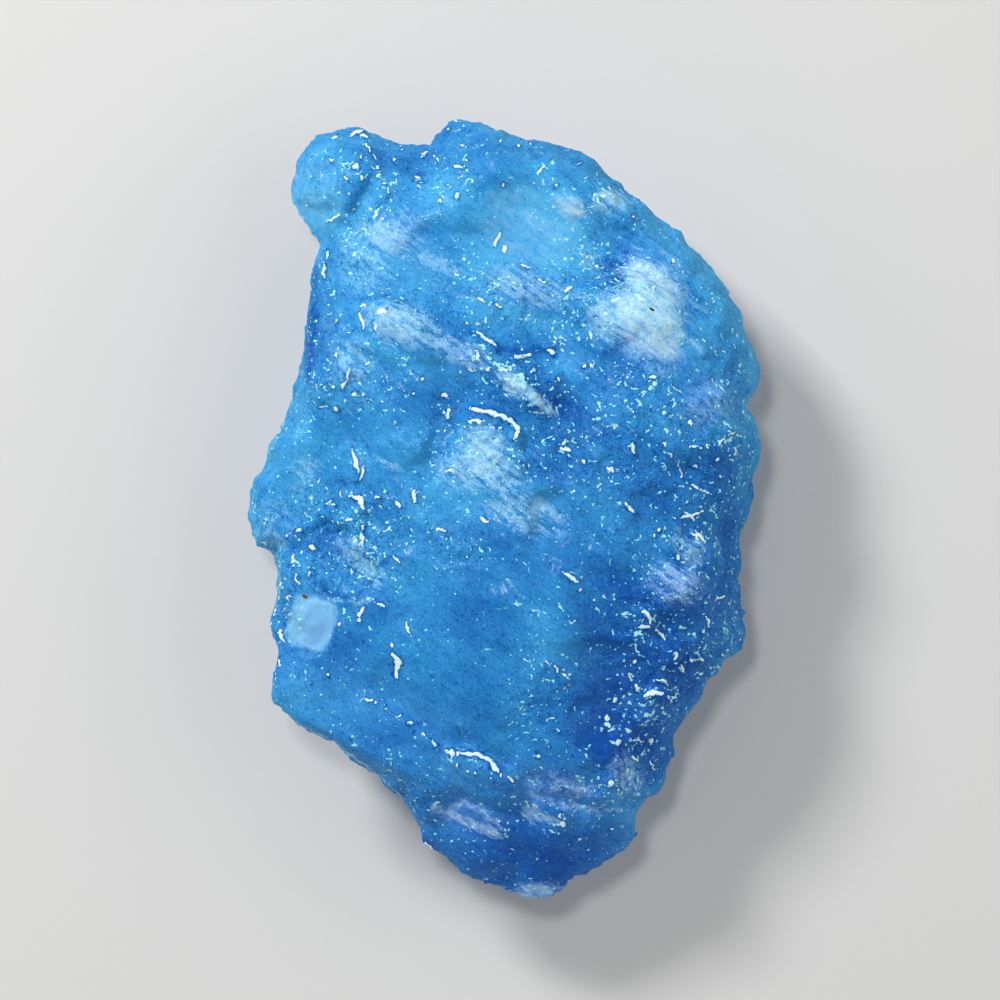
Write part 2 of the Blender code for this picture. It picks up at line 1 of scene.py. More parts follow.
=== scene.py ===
"""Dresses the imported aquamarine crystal: its broken wet surface, its cloudy blue inside, a stage.

Lengths in the tables are millimetres in the row frame: +X to the right of the show face, +Y to the
crystal's upper end, +Z up, out of the show face. One Operator shapes the crystal, one gives it its
material and one sets the stage. The Panel lists them."""

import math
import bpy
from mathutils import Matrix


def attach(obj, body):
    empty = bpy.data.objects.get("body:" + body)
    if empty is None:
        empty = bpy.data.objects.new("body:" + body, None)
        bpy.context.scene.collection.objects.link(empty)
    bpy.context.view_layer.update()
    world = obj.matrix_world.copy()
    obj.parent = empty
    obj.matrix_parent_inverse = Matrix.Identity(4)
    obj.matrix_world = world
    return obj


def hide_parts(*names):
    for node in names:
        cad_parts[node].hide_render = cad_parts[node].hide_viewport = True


bl_info = {
    "name": "Rough aquamarine crystal",
    "version": (1, 0, 0),
    "blender": (4, 5, 0),
    "location": "3D View > Sidebar > Crystal",
    "description": "Shapes and finishes a rough aquamarine crystal on a plain stage",
    "category": "Object",
}

import bpy
import numpy as np
from mathutils import Vector, noise

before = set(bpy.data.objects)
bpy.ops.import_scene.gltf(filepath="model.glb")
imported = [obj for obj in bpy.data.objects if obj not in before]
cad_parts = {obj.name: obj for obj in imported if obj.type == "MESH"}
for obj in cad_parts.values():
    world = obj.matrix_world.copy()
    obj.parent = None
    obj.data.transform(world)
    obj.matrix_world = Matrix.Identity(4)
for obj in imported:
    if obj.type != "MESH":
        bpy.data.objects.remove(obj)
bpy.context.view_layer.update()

MM = 0.001
NODE = "aquamarine_crystal"
PIECE = "crystal"
C_AXIS = -36.0  # bearing of the crystal's long axis, which its streaks and fine steps follow

# Raised lips, each a path whose right side falls away: (height, width of the lip, width of its back,
# points along the lip).
LIPS = (
    # the curved lip near the lower end, and the broken line that leads to it
    (0.5, 0.5, 3.4, (0.7, -26.8), (-0.3, -26.2), (-0.9, -25.3), (-1.6, -24.6), (-2.7, -24.1),
     (-5.4, -23.8)),
    (0.25, 0.5, 2.0, (-6.6, -23.3), (-8.4, -22.0), (-10.4, -20.3), (-13.8, -18.4)),
    # the curved lip on the pale plate
    (0.45, 0.45, 2.6, (1.1, 6.8), (1.3, 7.8), (0.4, 8.9), (-1.0, 9.5), (-3.4, 9.9)),
    (0.2, 0.3, 0.8, (-2.1, 8.8), (-3.7, 8.6)),
    # left of the middle
    (0.4, 0.45, 2.2, (-14.5, 3.0), (-14.4, 4.4), (-14.8, 5.4), (-15.3, 6.2)),
    # rims of the rough hollow at the left
    (0.5, 0.35, 1.2, (-13.8, 0.0), (-14.0, 1.1), (-15.4, 1.3)),
    (0.4, 0.4, 1.4, (-16.8, 0.3), (-17.6, 0.5), (-19.0, -1.6), (-20.2, -2.0), (-21.5, -2.6)),
    (0.35, 0.35, 1.0, (-14.1, -3.6), (-14.0, -1.4)),
    (0.3, 0.35, 1.0, (-15.0, -0.9), (-16.8, -1.2), (-18.4, -2.6)),
    (0.35, 0.4, 1.2, (-19.3, -6.4), (-19.2, -4.6), (-18.7, -3.8)),
    (0.25, 0.35, 1.0, (-10.0, 0.2), (-10.9, 0.8), (-12.7, 1.3)),
    (0.25, 0.35, 1.0, (-11.7, -9.6), (-12.7, -9.1)),
    # under the long crease
    (0.4, 0.4, 1.4, (-0.9, 16.2), (-2.8, 17.5)), (0.35, 0.4, 1.4, (2.6, 15.1), (0.8, 15.0)),
    (0.35, 0.35, 1.4, (-15.9, 12.0), (-15.3, 13.8)),
    # right half
    (0.3, 0.4, 1.4, (7.4, -7.2), (5.7, -6.0)), (0.3, 0.35, 1.2, (12.7, 5.5), (12.5, 6.6)),
    (0.35, 0.4, 1.2, (12.9, -0.4), (11.7, 0.7)), (0.25, 0.35, 1.0, (20.2, 6.1), (18.0, 6.1)),
    (0.25, 0.35, 1.0, (21.0, 6.2), (21.6, 7.2), (22.8, 7.8)),
    (0.4, 0.35, 0.9, (14.3, -11.4), (14.2, -10.4), (13.4, -9.8)),
    (0.45, 0.4, 1.2, (17.8, -16.1), (16.7, -15.0), (17.0, -14.2), (16.2, -14.0)),
    (0.45, 0.4, 1.2, (17.2, -18.4), (16.1, -18.6), (15.2, -18.0), (13.8, -18.3)),
    (0.3, 0.4, 1.2, (19.7, -14.8), (18.3, -14.9)),
    (0.25, 0.35, 1.2, (6.2, -16.5), (5.2, -15.6), (4.0, -14.8)),
    (0.3, 0.5, 2.2, (13.8, 21.6), (15.4, 20.0), (17.4, 17.4), (19.4, 15.4)),
    # round the knob
    (0.25, 0.4, 1.4, (-16.2, 29.2), (-17.6, 28.6)),
    (0.3, 0.4, 1.6, (-11.3, 31.2), (-12.4, 33.0), (-12.8, 35.0), (-13.8, 36.4)),
    (0.25, 0.35, 1.2, (-17.9, 23.2), (-17.6, 25.8)),
)
# Painted highlights: bright marks where the wet ground mirrors a lamp, painted into the colour: (half
# width, points along the mark).
GLINTS = (
    # the knob and the crease beside it
    (0.40, (-14.3, 37.3), (-13.7, 37.1)), (0.15, (-15.3, 37.1), (-14.8, 37.7), (-14.0, 37.7)),
    (0.15, (-16.9, 38.1), (-16.3, 38.1)), (0.15, (-17.2, 37.0), (-16.4, 37.2)),
    (0.14, (-13.8, 36.3), (-13.3, 35.6)), (0.12, (-13.0, 35.2), (-12.7, 34.8)), (0.27, (-12.5, 34.0)),
    (0.24, (-12.5, 33.1)), (0.20, (-11.9, 32.2)), (0.14, (-11.5, 31.7), (-11.3, 31.2)),
    (0.13, (-14.2, 35.2), (-14.2, 34.6)), (0.33, (-14.8, 34.0)),
    (0.15, (-17.5, 34.9), (-17.2, 34.5), (-16.9, 34.6)), (0.13, (-15.8, 33.3), (-15.6, 32.6)),
    (0.17, (-14.1, 33.2), (-14.2, 32.5)), (0.12, (-18.3, 33.5), (-18.1, 33.0)),
    (0.15, (-17.6, 28.6), (-17.0, 28.9), (-16.3, 29.1)), (0.16, (-17.5, 26.1), (-17.6, 24.9)),
    (0.13, (-17.9, 24.5), (-17.9, 23.0)),
    # the upper end
    (0.25, (-11.0, 34.7)), (0.14, (-10.2, 35.9)), (0.30, (-8.2, 35.0), (-7.8, 35.7)),
    (0.33, (-8.5, 32.8)), (0.15, (-8.5, 32.0)), (0.12, (-6.9, 35.4), (-6.6, 34.5)),
    (0.20, (-5.6, 38.0)), (0.16, (-4.4, 36.3), (-3.9, 35.9)), (0.32, (-4.9, 33.9), (-4.3, 33.8)),
    (0.14, (-3.7, 34.4)), (0.17, (-5.7, 32.1), (-5.2, 31.9)), (0.27, (-4.8, 31.0)),
    (0.20, (-6.4, 30.5)), (0.14, (-6.4, 29.0)), (0.22, (3.2, 33.2), (3.9, 33.9)), (0.20, (0.0, 32.0)),
    (0.20, (5.1, 32.0)), (0.14, (1.4, 36.1)), (0.16, (2.6, 36.3)), (0.15, (2.6, 35.6)),
    (0.17, (6.3, 35.7)), (0.14, (-0.4, 36.5)), (0.14, (7.4, 34.2)),
    (0.21, (-0.3, 27.4), (-0.8, 26.8), (-0.9, 26.0)), (0.24, (0.0, 25.7)),
    (0.14, (1.6, 24.2), (2.6, 23.8)), (0.24, (6.0, 21.5), (6.6, 21.9)),
    (0.13, (3.2, 22.9), (3.9, 22.4)), (0.22, (-1.0, 20.3), (-0.4, 19.9)),
    (0.15, (-2.5, 20.8), (-1.8, 20.3)), (0.22, (10.4, 31.8)), (0.24, (9.4, 31.0), (9.9, 30.9)),
    (0.22, (16.6, 24.6)), (0.15, (8.1, 25.0)), (0.14, (12.9, 28.9)),
    # along and under the long crease
    (0.15, (-14.3, 20.0), (-13.9, 20.2), (-13.5, 20.1)), (0.34, (-12.4, 19.5), (-11.8, 19.6)),
    (0.18, (-14.4, 19.3), (-14.1, 18.6), (-13.9, 17.7)), (0.22, (-12.7, 18.2), (-12.6, 17.8)),
    (0.13, (-16.6, 18.9), (-16.6, 18.4)), (0.17, (-15.5, 17.3), (-15.1, 17.5)), (0.25, (-16.6, 15.2)),
    (0.28, (-13.7, 14.5), (-13.4, 14.5)), (0.17, (-15.3, 13.8), (-15.5, 12.9), (-15.9, 12.0)),
    (0.20, (-16.8, 12.0)), (0.30, (-14.8, 11.4)), (0.26, (-16.6, 10.0)),
    (0.17, (-2.8, 17.5), (-1.9, 16.9), (-0.9, 16.2)), (0.21, (1.0, 15.0), (1.7, 15.1), (2.5, 15.1)),
    (0.38, (4.6, 15.5)), (0.16, (4.2, 14.8)), (0.27, (2.6, 13.6), (3.0, 13.7)), (0.22, (0.1, 13.7)),
    (0.28, (5.1, 13.0), (5.2, 12.7)), (0.14, (5.6, 13.4)), (0.14, (-8.1, 12.8)), (0.13, (-9.0, 11.4)),
    (0.14, (-9.1, 13.6)), (0.20, (7.8, 14.1)), (0.20, (8.6, 14.2)), (0.15, (8.4, 17.3), (8.6, 16.8)),
    (0.24, (14.3, 13.0), (14.9, 12.9)), (0.24, (18.2, 8.7)),
    # the pale plate
    (0.21, (1.0, 6.9), (1.3, 7.5), (1.2, 8.1), (0.6, 8.7), (-0.2, 9.2), (-1.0, 9.45), (-2.0, 9.65),
     (-3.4, 9.9)),
    (0.17, (-3.7, 8.6), (-2.9, 8.7), (-2.1, 8.8)), (0.16, (-0.9, 8.3), (-1.0, 8.0), (-0.8, 7.7)),
    (0.13, (-0.3, 8.0)), (0.17, (-5.4, 10.0), (-5.6, 8.9)),
    (0.14, (-6.2, 11.1), (-5.7, 11.3), (-5.5, 10.9)), (0.14, (-5.9, 9.6)),
    (0.15, (-5.8, 3.9), (-5.0, 3.6)), (0.15, (-2.5, -0.5), (-1.7, -1.3)),
    (0.14, (-6.5, -1.9), (-5.7, -2.1)), (0.14, (-3.3, -3.8)), (0.15, (-3.7, -4.5)),
    # right of the middle
    (0.24, (6.0, 6.8), (5.8, 6.3)), (0.20, (5.5, 6.0), (6.5, 5.9)), (0.26, (6.2, 5.3)),
    (0.24, (7.6, 4.9), (7.9, 4.7)), (0.19, (10.0, 4.3), (10.7, 3.8)), (0.15, (11.8, 3.7), (12.1, 3.8)),
    (0.17, (12.5, 6.6), (12.7, 5.5)), (0.20, (15.7, 6.5), (15.9, 6.2)),
    (0.24, (16.3, 5.5), (16.4, 5.1)), (0.17, (18.2, 6.1), (18.8, 6.2), (19.5, 6.1)),
    (0.14, (20.0, 6.4), (20.1, 6.1)), (0.17, (21.1, 6.3), (21.6, 7.1)),
    (0.13, (22.0, 7.4), (22.8, 7.7)), (0.27, (17.3, 4.0), (17.5, 3.2)),
    (0.20, (18.5, 4.3), (18.9, 4.2)), (0.24, (21.1, 5.0)),
    (0.24, (11.8, 0.6), (12.4, 0.1), (12.8, -0.3)), (0.18, (15.2, -2.0)), (0.16, (14.7, -2.5)),
    (0.12, (18.2, 2.5), (19.3, 2.0), (20.4, 1.5)), (0.13, (17.4, -0.8), (18.5, -0.6), (19.6, -0.1)),
    (0.14, (18.4, -2.3), (19.3, -2.5), (19.8, -3.3)), (0.25, (17.0, -4.6)),
    (0.14, (21.0, -8.7), (21.8, -8.6)), (0.19, (5.7, -6.0), (6.5, -6.6), (7.3, -7.1)),
    (0.17, (7.4, -7.9)), (0.14, (4.0, -14.8), (4.5, -15.2)), (0.26, (5.0, -15.4), (5.3, -15.9)),
    (0.14, (5.8, -16.2), (6.3, -16.6)),
    # lower right
    (0.16, (13.4, -9.8), (14.0, -10.1), (14.3, -10.7), (14.3, -11.2)),
    (0.18, (13.0, -11.5), (14.3, -11.5)), (0.13, (13.6, -10.6), (13.7, -11.1)),
    (0.16, (14.9, -12.0), (15.5, -12.3), (15.9, -12.8)), (0.20, (19.9, -10.5), (20.3, -11.5)),
    (0.20, (19.6, -12.0)), (0.27, (23.2, -12.3), (23.5, -13.1)),
    (0.26, (16.3, -14.0), (16.9, -14.2), (16.7, -14.8)),
    (0.20, (16.8, -15.0), (17.4, -15.5), (17.8, -16.1)), (0.22, (12.9, -15.0)),
    (0.21, (18.4, -14.9), (19.0, -14.8), (19.6, -14.8)), (0.16, (20.2, -15.3), (20.5, -15.7)),
    (0.15, (21.5, -14.3), (22.2, -14.8)), (0.21, (12.2, -16.1), (12.5, -16.8)),
    (0.18, (12.9, -17.3), (13.2, -17.9)), (0.17, (14.9, -16.7), (15.5, -16.9), (16.1, -17.3)),
    (0.28, (13.8, -18.3), (14.8, -18.0), (15.6, -18.0)), (0.28, (16.1, -18.6), (17.0, -18.4)),
    (0.20, (16.5, -19.0)), (0.18, (10.8, -18.8)), (0.30, (10.1, -20.5)), (0.28, (10.1, -21.3)),
    (0.26, (11.2, -22.9)), (0.32, (14.4, -23.0)), (0.13, (12.4, -22.8), (13.8, -22.9)),
    (0.28, (12.6, -24.4), (13.1, -24.6)), (0.20, (14.4, -24.9), (14.9, -25.8)), (0.33, (10.5, -27.0)),
    (0.15, (11.2, -27.7)), (0.26, (3.4, -24.3)), (0.14, (4.5, -23.4)),
    (0.14, (5.0, -21.6), (5.5, -21.8)), (0.13, (6.2, -22.0), (6.6, -22.2)), (0.26, (5.7, -31.1)),
    (0.20, (5.5, -30.2)), (0.20, (13.0, -29.6)), (0.25, (10.7, -34.7), (11.0, -34.5)),
    (0.14, (10.7, -31.7)), (0.16, (12.4, -33.1)),
    # the curved lip near the lower end
    (0.21, (-4.4, -23.9), (-2.6, -24.1), (-1.5, -24.7), (-0.8, -25.5), (-0.4, -26.3)),
    (0.2, (0.3, -26.3), (0.8, -26.8)), (0.20, (-5.9, -23.8), (-5.2, -23.9), (-5.3, -24.6)),
    (0.17, (-4.6, -23.8), (-4.6, -24.3)), (0.27, (-7.2, -22.7), (-6.7, -23.2)),
    (0.22, (-8.1, -22.0), (-7.7, -22.5)), (0.18, (-9.3, -21.1)), (0.13, (-4.6, -25.1)),
    (0.13, (-3.7, -25.8)), (0.14, (-2.9, -25.9)), (0.13, (-2.3, -25.5)), (0.13, (-1.3, -26.5)),
    (0.14, (-0.9, -27.0)), (0.13, (-0.1, -27.1)), (0.11, (-13.8, -18.5), (-12.4, -19.2)),
    (0.11, (-11.8, -19.7)),
    # left, round the rough hollow
    (0.20, (-15.1, 5.9), (-14.6, 4.8), (-14.5, 3.6)), (0.12, (-14.4, 2.8), (-13.8, 4.2)),
    (0.22, (-15.4, 1.3), (-14.2, 1.2), (-13.9, 0.1)), (0.13, (-14.7, 0.7)),
    (0.17, (-17.6, 0.4), (-17.2, 0.8), (-16.8, 0.3)), (0.19, (-16.2, 1.7), (-16.0, 1.3)),
    (0.15, (-12.7, 1.2), (-12.0, 1.1)), (0.13, (-11.5, 1.2), (-11.1, 1.0)),
    (0.19, (-10.9, 0.8), (-10.1, 0.2)), (0.32, (-8.9, 1.8), (-8.8, 0.8)),
    (0.22, (-14.0, -1.4), (-14.1, -3.6)), (0.13, (-16.5, -1.2), (-15.0, -0.9)),
    (0.24, (-21.1, -2.0), (-20.3, -2.0)), (0.14, (-21.5, -2.5)), (0.26, (-19.2, -3.6), (-18.8, -3.9)),
    (0.22, (-19.3, -5.8), (-19.2, -6.4)), (0.22, (-22.9, -5.8), (-22.9, -6.5)),
    (0.17, (-12.7, -9.1), (-11.7, -9.6)), (0.13, (-14.5, -11.0), (-13.9, -9.7)),
    (0.13, (-14.5, -10.2), (-14.3, -11.1)), (0.14, (-9.7, -11.1), (-9.4, -12.1)),
    (0.33, (-11.0, -14.2), (-10.4, -15.0), (-10.7, -16.4)), (0.15, (-11.1, -13.4)),
    (0.21, (-10.9, -4.5), (-10.4, -5.2)), (0.20, (-23.5, -12.7), (-23.1, -13.7)),
    (0.20, (-22.6, -12.1), (-21.9, -13.0)), (0.22, (-21.7, -8.9), (-21.1, -8.5)),
    (0.18, (-17.4, -16.2)), (0.15, (-19.1, -17.2)), (0.16, (-16.2, -11.3)),
    # beside the lavender patch under the long crease
    (0.18, (-2.8, 15.7), (-2.6, 14.7)), (0.16, (-3.6, 14.0), (-3.2, 13.6)),
    (0.14, (-1.9, 13.6), (-1.5, 14.0)),
    # along the left shelf and the left edge
    (0.16, (-25.0, 3.2), (-25.1, 2.2)), (0.14, (-25.2, 1.4), (-25.2, 0.6)),
    (0.12, (-24.6, -2.8), (-23.8, -3.5)), (0.16, (-22.6, -9.4), (-22.9, -10.4)),
    (0.14, (-23.2, -11.2), (-23.4, -12.0)), (0.12, (-22.0, -10.2), (-21.6, -9.6)),
    (0.13, (-22.4, -14.6), (-22.2, -15.6)), (0.12, (-20.9, -4.4), (-20.9, -5.6)),
    (0.12, (-20.6, -6.6), (-20.3, -7.6)),
    # the string of dots on the lower left plane
    (0.11, (-12.7, -19.0)), (0.12, (-11.8, -19.3)), (0.11, (-10.9, -19.8)), (0.12, (-10.2, -20.3)),
    (0.11, (-9.6, -21.0)), (0.12, (-12.2, -18.7)), (0.1, (-11.3, -20.1)), (0.12, (-9.0, -21.9)),
    # along the lower left rim
    (0.26, (-11.4, -27.6), (-10.9, -28.1)), (0.26, (-10.3, -28.5)), (0.2, (-9.6, -30.2)),
    (0.2, (-7.9, -33.2), (-7.1, -34.0)),
)
# In the tables of patches each row is (x, y, half length, half width, bearing, amount).
# Where the ground is rough and grainy.
GRAINY = (
    (15.0, -12.0, 9.0, 6.0, -70.0, 0.75), (13.0, -22.0, 8.0, 4.5, 65.0, 0.8),
    (19.0, 3.0, 10.0, 5.5, 80.0, 0.7), (15.5, 11.0, 7.0, 4.5, -20.0, 0.7),
    (-16.5, -3.0, 6.5, 5.0, -20.0, 1.0), (-21.8, -8.0, 6.0, 2.2, 95.0, 1.0),
    (-18.5, 17.0, 8.0, 2.4, 85.0, 0.9), (-6.0, 19.0, 6.0, 2.4, -20.0, 0.8),
    (2.6, 20.6, 7.0, 3.0, -20.0, 0.8), (10.4, 22.0, 4.0, 5.0, 70.0, 0.8),
    (-8.0, 34.0, 6.0, 3.6, -10.0, 0.5), (0.8, 13.0, 6.0, 3.0, -36.0, 1.0),
    (-14.5, 27.0, 8.0, 2.0, 60.0, 0.6), (9.0, 6.0, 8.0, 4.0, -36.0, 0.5),
    (4.6, -29.4, 8.0, 2.4, -10.0, 0.3), (12.0, 30.0, 7.0, 2.6, -40.0, 0.6),
    (-23.5, 0.0, 2.2, 4.6, 0.0, 0.5), (4.0, -38.0, 5.0, 2.0, 0.0, 0.2),
    (-8.4, -28.6, 4.0, 2.0, -50.0, 0.7), (5.6, -16.2, 3.0, 1.8, -40.0, 0.4),
    (0.0, 37.0, 8.0, 2.0, -20.0, 0.5), (-1.5, 6.0, 5.0, 4.0, -30.0, 0.6),
    (13.6, 20.2, 4.0, 3.0, -50.0, 0.5), (-14.0, 1.0, 6.0, 2.0, -10.0, 0.7),
    (21.6, 10.0, 10.0, 2.6, 90.0, 0.7), (22.6, -5.0, 7.0, 2.2, 90.0, 0.7),
    (3.0, 5.6, 4.0, 3.0, 0.0, 0.8), (-6.0, -3.4, 6.0, 2.4, -10.0, 0.6),
    (-22.6, 8.6, 4.4, 1.8, 60.0, 0.7), (18.4, -15.6, 4.0, 3.0, 0.0, 1.0),
    (-17.6, 32.4, 4.0, 3.0, 0.0, 0.5), (19.0, 21.0, 6.0, 3.0, -50.0, 0.6),
    (4.0, -18.6, 4.0, 3.4, 0.0, 0.5), (12.4, -26.0, 3.0, 2.4, 0.0, 0.8),
    (-22.6, -15.4, 3.0, 1.6, 90.0, 0.5), (-12.6, 12.4, 4.0, 2.4, 0.0, 0.6),
    (12.6, 2.6, 3.6, 2.6, 0.0, 0.6), (8.4, -2.0, 3.4, 2.2, 0.0, 0.35),
)
# Cloudy white inclusions under the surface.
MILKY = (
    (14.6, 22.2, 3.3, 1.9, -36.0, 1.25), (12.3, 20.2, 1.7, 1.4, -60.0, 0.75),
    (13.8, 18.8, 3.6, 3.0, -36.0, 1.3), (15.0, 16.6, 2.4, 1.7, -30.0, 1.15),
    (10.6, 18.6, 2.6, 2.0, -40.0, 0.85), (15.2, 14.6, 2.4, 1.4, -20.0, 0.45),
    (19.8, 10.4, 2.6, 2.4, 0.0, 0.5), (-13.8, 24.6, 3.0, 4.0, 0.0, 0.42),
    (-14.2, 10.6, 2.4, 1.6, 20.0, 0.2), (0.4, 5.2, 2.2, 1.2, -30.0, 0.35),
    (-10.2, 18.2, 3.6, 1.9, -18.0, 0.95), (-6.4, 16.4, 3.0, 1.0, -36.0, 0.65),
    (-3.6, 15.0, 2.0, 1.1, -34.0, 0.62), (0.8, 12.2, 1.8, 0.9, -30.0, 1.05),
    (2.8, 11.0, 2.4, 0.65, -36.0, 0.95), (0.8, 14.0, 1.6, 0.8, 0.0, 0.2),
    (-2.0, 6.4, 2.2, 1.6, -30.0, 0.8), (-1.4, 3.8, 3.6, 1.5, -34.0, 0.8),
    (-4.4, 3.6, 2.6, 1.6, -30.0, 0.6), (3.4, 0.2, 3.0, 1.0, -28.0, 0.65),
    (1.0, -0.6, 3.2, 1.2, -20.0, 0.6), (3.4, -2.0, 3.2, 1.0, -10.0, 0.35),
    (16.8, -7.3, 2.6, 1.9, -20.0, 0.66), (18.2, -3.6, 2.0, 1.4, -50.0, 0.55),
    (-11.6, 26.8, 2.8, 1.5, -25.0, 0.75), (-9.4, 28.4, 2.2, 1.0, -10.0, 0.5),
    (-8.2, 25.0, 3.4, 0.7, -30.0, 0.6), (6.5, 29.8, 1.7, 1.0, -25.0, 1.0),
    (10.4, 30.4, 1.8, 1.2, -20.0, 0.85), (2.4, 21.9, 4.6, 1.8, -14.0, 0.65),
    (-14.4, -4.8, 3.0, 0.9, -40.0, 0.7), (-15.6, -3.4, 1.6, 0.8, 0.0, 0.6),
    (12.0, -26.0, 2.4, 1.6, -60.0, 0.45), (5.6, -27.2, 3.4, 1.2, -12.0, 0.5),
    (2.8, -38.2, 4.0, 1.0, 4.0, 0.75), (-18.4, 29.6, 2.2, 1.5, 0.0, 0.15),
    (0.6, 30.0, 2.6, 1.8, -20.0, 0.22), (-14.8, 14.4, 2.4, 2.0, 60.0, 0.5),
    (-8.2, 5.8, 2.4, 1.2, 20.0, 0.1), (-11.8, 4.6, 2.0, 0.5, -20.0, 0.5),
    (-22.4, -1.4, 1.8, 2.4, 10.0, 0.45), (-20.0, 3.6, 2.0, 1.4, 30.0, 0.4),
    (-23.4, -7.2, 1.2, 2.4, 0.0, 0.4), (8.6, 24.4, 2.4, 1.0, -40.0, 0.35),
)
# Cloudy threads and feathers: (half width, amount, points along the thread).
THREADS = (
    (0.55, 0.85, (-6.9, -29.6), (-5.2, -30.2), (-3.4, -31.1), (-1.6, -31.8), (-0.5, -32.1)),
    (0.45, 0.7, (-4.9, -29.3), (-3.8, -28.8), (-2.7, -29.3), (-1.6, -30.4), (-0.7, -31.1)),
    (0.6, 0.85, (2.1, -29.9), (3.0, -30.6)), (0.35, 0.7, (2.8, -29.4), (4.2, -30.6), (5.8, -31.0)),
    (0.3, 0.55, (2.6, -28.1), (5.7, -29.4), (8.2, -29.5), (11.2, -29.8)),
    (0.3, 0.5, (6.6, -29.0), (9.6, -30.4)), (0.6, 0.8, (15.8, 17.4), (17.4, 17.2)),
    (0.3, 0.7, (17.4, 17.2), (18.4, 16.6), (19.4, 15.7)),
    (0.5, 0.5, (15.6, 25.6), (16.9, 24.4), (18.1, 23.2)),
    (0.14, 0.6, (17.9, 21.6), (19.0, 20.4), (20.2, 19.4)), (0.35, 0.55, (17.6, 21.4), (19.7, 19.6)),
    (0.5, 0.8, (11.9, 24.2), (14.0, 23.6), (16.4, 21.9)),
    (0.25, 0.6, (-5.4, 17.1), (-2.6, 15.6), (-1.2, 14.2)), (0.3, 0.6, (-4.2, 16.8), (-1.8, 15.2)),
    (0.2, 0.5, (-8.0, 25.6), (-5.8, 24.4), (-4.2, 23.6)), (0.25, 0.5, (-10.0, 28.0), (-8.0, 26.4)),
    (0.3, 0.6, (-15.9, -4.4), (-14.0, -5.4), (-12.4, -7.2)),
    (0.2, 0.45, (-16.8, -5.8), (-15.0, -9.4), (-13.0, -9.0)),
    (0.25, 0.5, (-0.6, 1.6), (2.4, -0.2), (5.0, -1.4)), (0.2, 0.5, (-4.0, 6.0), (0.8, 2.6)),
    (0.2, 0.45, (0.4, -7.1), (1.6, -8.5)), (0.2, 0.45, (8.8, 8.0), (11.0, 8.4), (12.8, 7.6)),
    # a thin light line along the lower left rim: painted edge light
    (0.14, 0.85, (-23.3, -18.7), (-21.1, -20.8), (-16.7, -23.1), (-12.3, -26.5), (-9.9, -28.8)),
    (0.16, 0.7, (-19.4, -7.2), (-17.2, -8.9), (-14.6, -9.1), (-12.8, -8.6)),
    (0.18, 0.6, (-16.8, -4.6), (-14.6, -5.8), (-12.2, -7.9)),
    (0.3, 0.5, (-20.9, -8.6), (-17.6, -9.2), (-17.0, -9.6)),
)
# Pale facets of even colour.
EVEN = (
    (-19.1, -11.2, 2.6, 2.3, 74.0, 1.0), (-21.2, 1.6, 2.8, 4.4, -30.0, 0.35),
    (2.6, 27.8, 5.6, 4.4, -20.0, 0.48), (-18.9, 31.4, 3.6, 4.0, 0.0, 0.44),
    (-16.6, 17.0, 1.8, 3.8, 10.0, 0.4), (-14.9, 15.4, 1.4, 2.4, 0.0, 0.35),
    (3.8, -10.6, 2.8, 2.6, 0.0, 0.25),
)
# Where the blue is paler and greener.
PALE = (
    (2.8, 27.6, 8.0, 6.0, 0.0, 0.75), (0.4, 30.4, 3.0, 2.4, 0.0, 0.95),
    (-4.0, 30.5, 6.0, 4.0, 0.0, 0.5), (-18.8, 31.6, 4.4, 4.4, 0.0, 0.6),
    (-18.6, 29.6, 3.6, 2.6, 0.0, 1.0), (-13.4, 31.0, 3.4, 1.0, 62.0, 0.7),
    (-21.4, 2.0, 3.6, 5.6, 0.0, 0.4), (-16.0, 12.6, 3.0, 3.0, 0.0, 0.1),
    (4.8, -10.5, 4.0, 3.6, 0.0, 0.25), (-15.0, 23.4, 4.0, 5.0, 0.0, 0.4),
    (-9.0, 24.4, 6.0, 3.4, -30.0, 0.5), (14.6, 27.0, 8.0, 3.4, -44.0, 0.5),
    (-12.0, 2.6, 6.0, 5.0, 0.0, 0.2), (20.4, 11.0, 4.0, 4.0, 0.0, 0.5),
    (20.4, 20.4, 3.4, 5.0, 0.0, 0.6), (-20.6, -10.6, 3.4, 3.0, 0.0, 0.2),
    (11.0, -29.6, 3.0, 2.0, 0.0, 0.3), (-6.0, -16.0, 9.0, 6.0, -30.0, 0.1),
    (-7.4, 13.4, 5.0, 1.8, -14.0, 0.3), (0.6, 18.8, 5.0, 2.0, -14.0, 0.8),
    (16.0, 17.0, 4.0, 4.0, 0.0, 0.5), (-4.4, -30.4, 3.0, 1.6, -20.0, 0.3),
    (6.4, 14.4, 3.0, 1.6, 0.0, 0.5), (10.4, 29.4, 4.0, 2.6, -40.0, 0.6),
    (3.4, 21.4, 5.0, 2.6, 0.0, 0.5), (0.6, 6.4, 3.0, 2.0, 0.0, 0.35),
    (-4.5, 1.8, 4.4, 2.4, -20.0, 0.35), (-24.2, -8.0, 1.8, 4.4, 0.0, 0.5),
    (-7.0, -6.0, 9.0, 3.0, 0.0, 0.2), (-19.0, -18.4, 6.0, 2.4, -20.0, 0.25),
    (10.6, -2.0, 3.0, 2.0, 0.0, 0.2), (-9.0, 35.0, 5.0, 2.4, 0.0, 0.15),
    (-14.4, -2.0, 2.6, 2.0, 0.0, 0.35), (-19.6, -5.8, 2.0, 2.4, 0.0, 0.4),
    (-9.0, 17.6, 2.6, 1.2, -20.0, 0.4), (-14.0, 14.6, 2.4, 2.6, 0.0, 0.35),
    # the patch at (3.2, 1.5) and the last one: painted light, paler over steps of the relief that fall
    # into shade
    (-9.6, 33.6, 2.6, 1.8, 0.0, 0.3), (3.2, 1.5, 2.0, 1.1, -30.0, 0.4),
    (-8.4, 5.6, 2.4, 1.4, 55.0, 0.3),
)
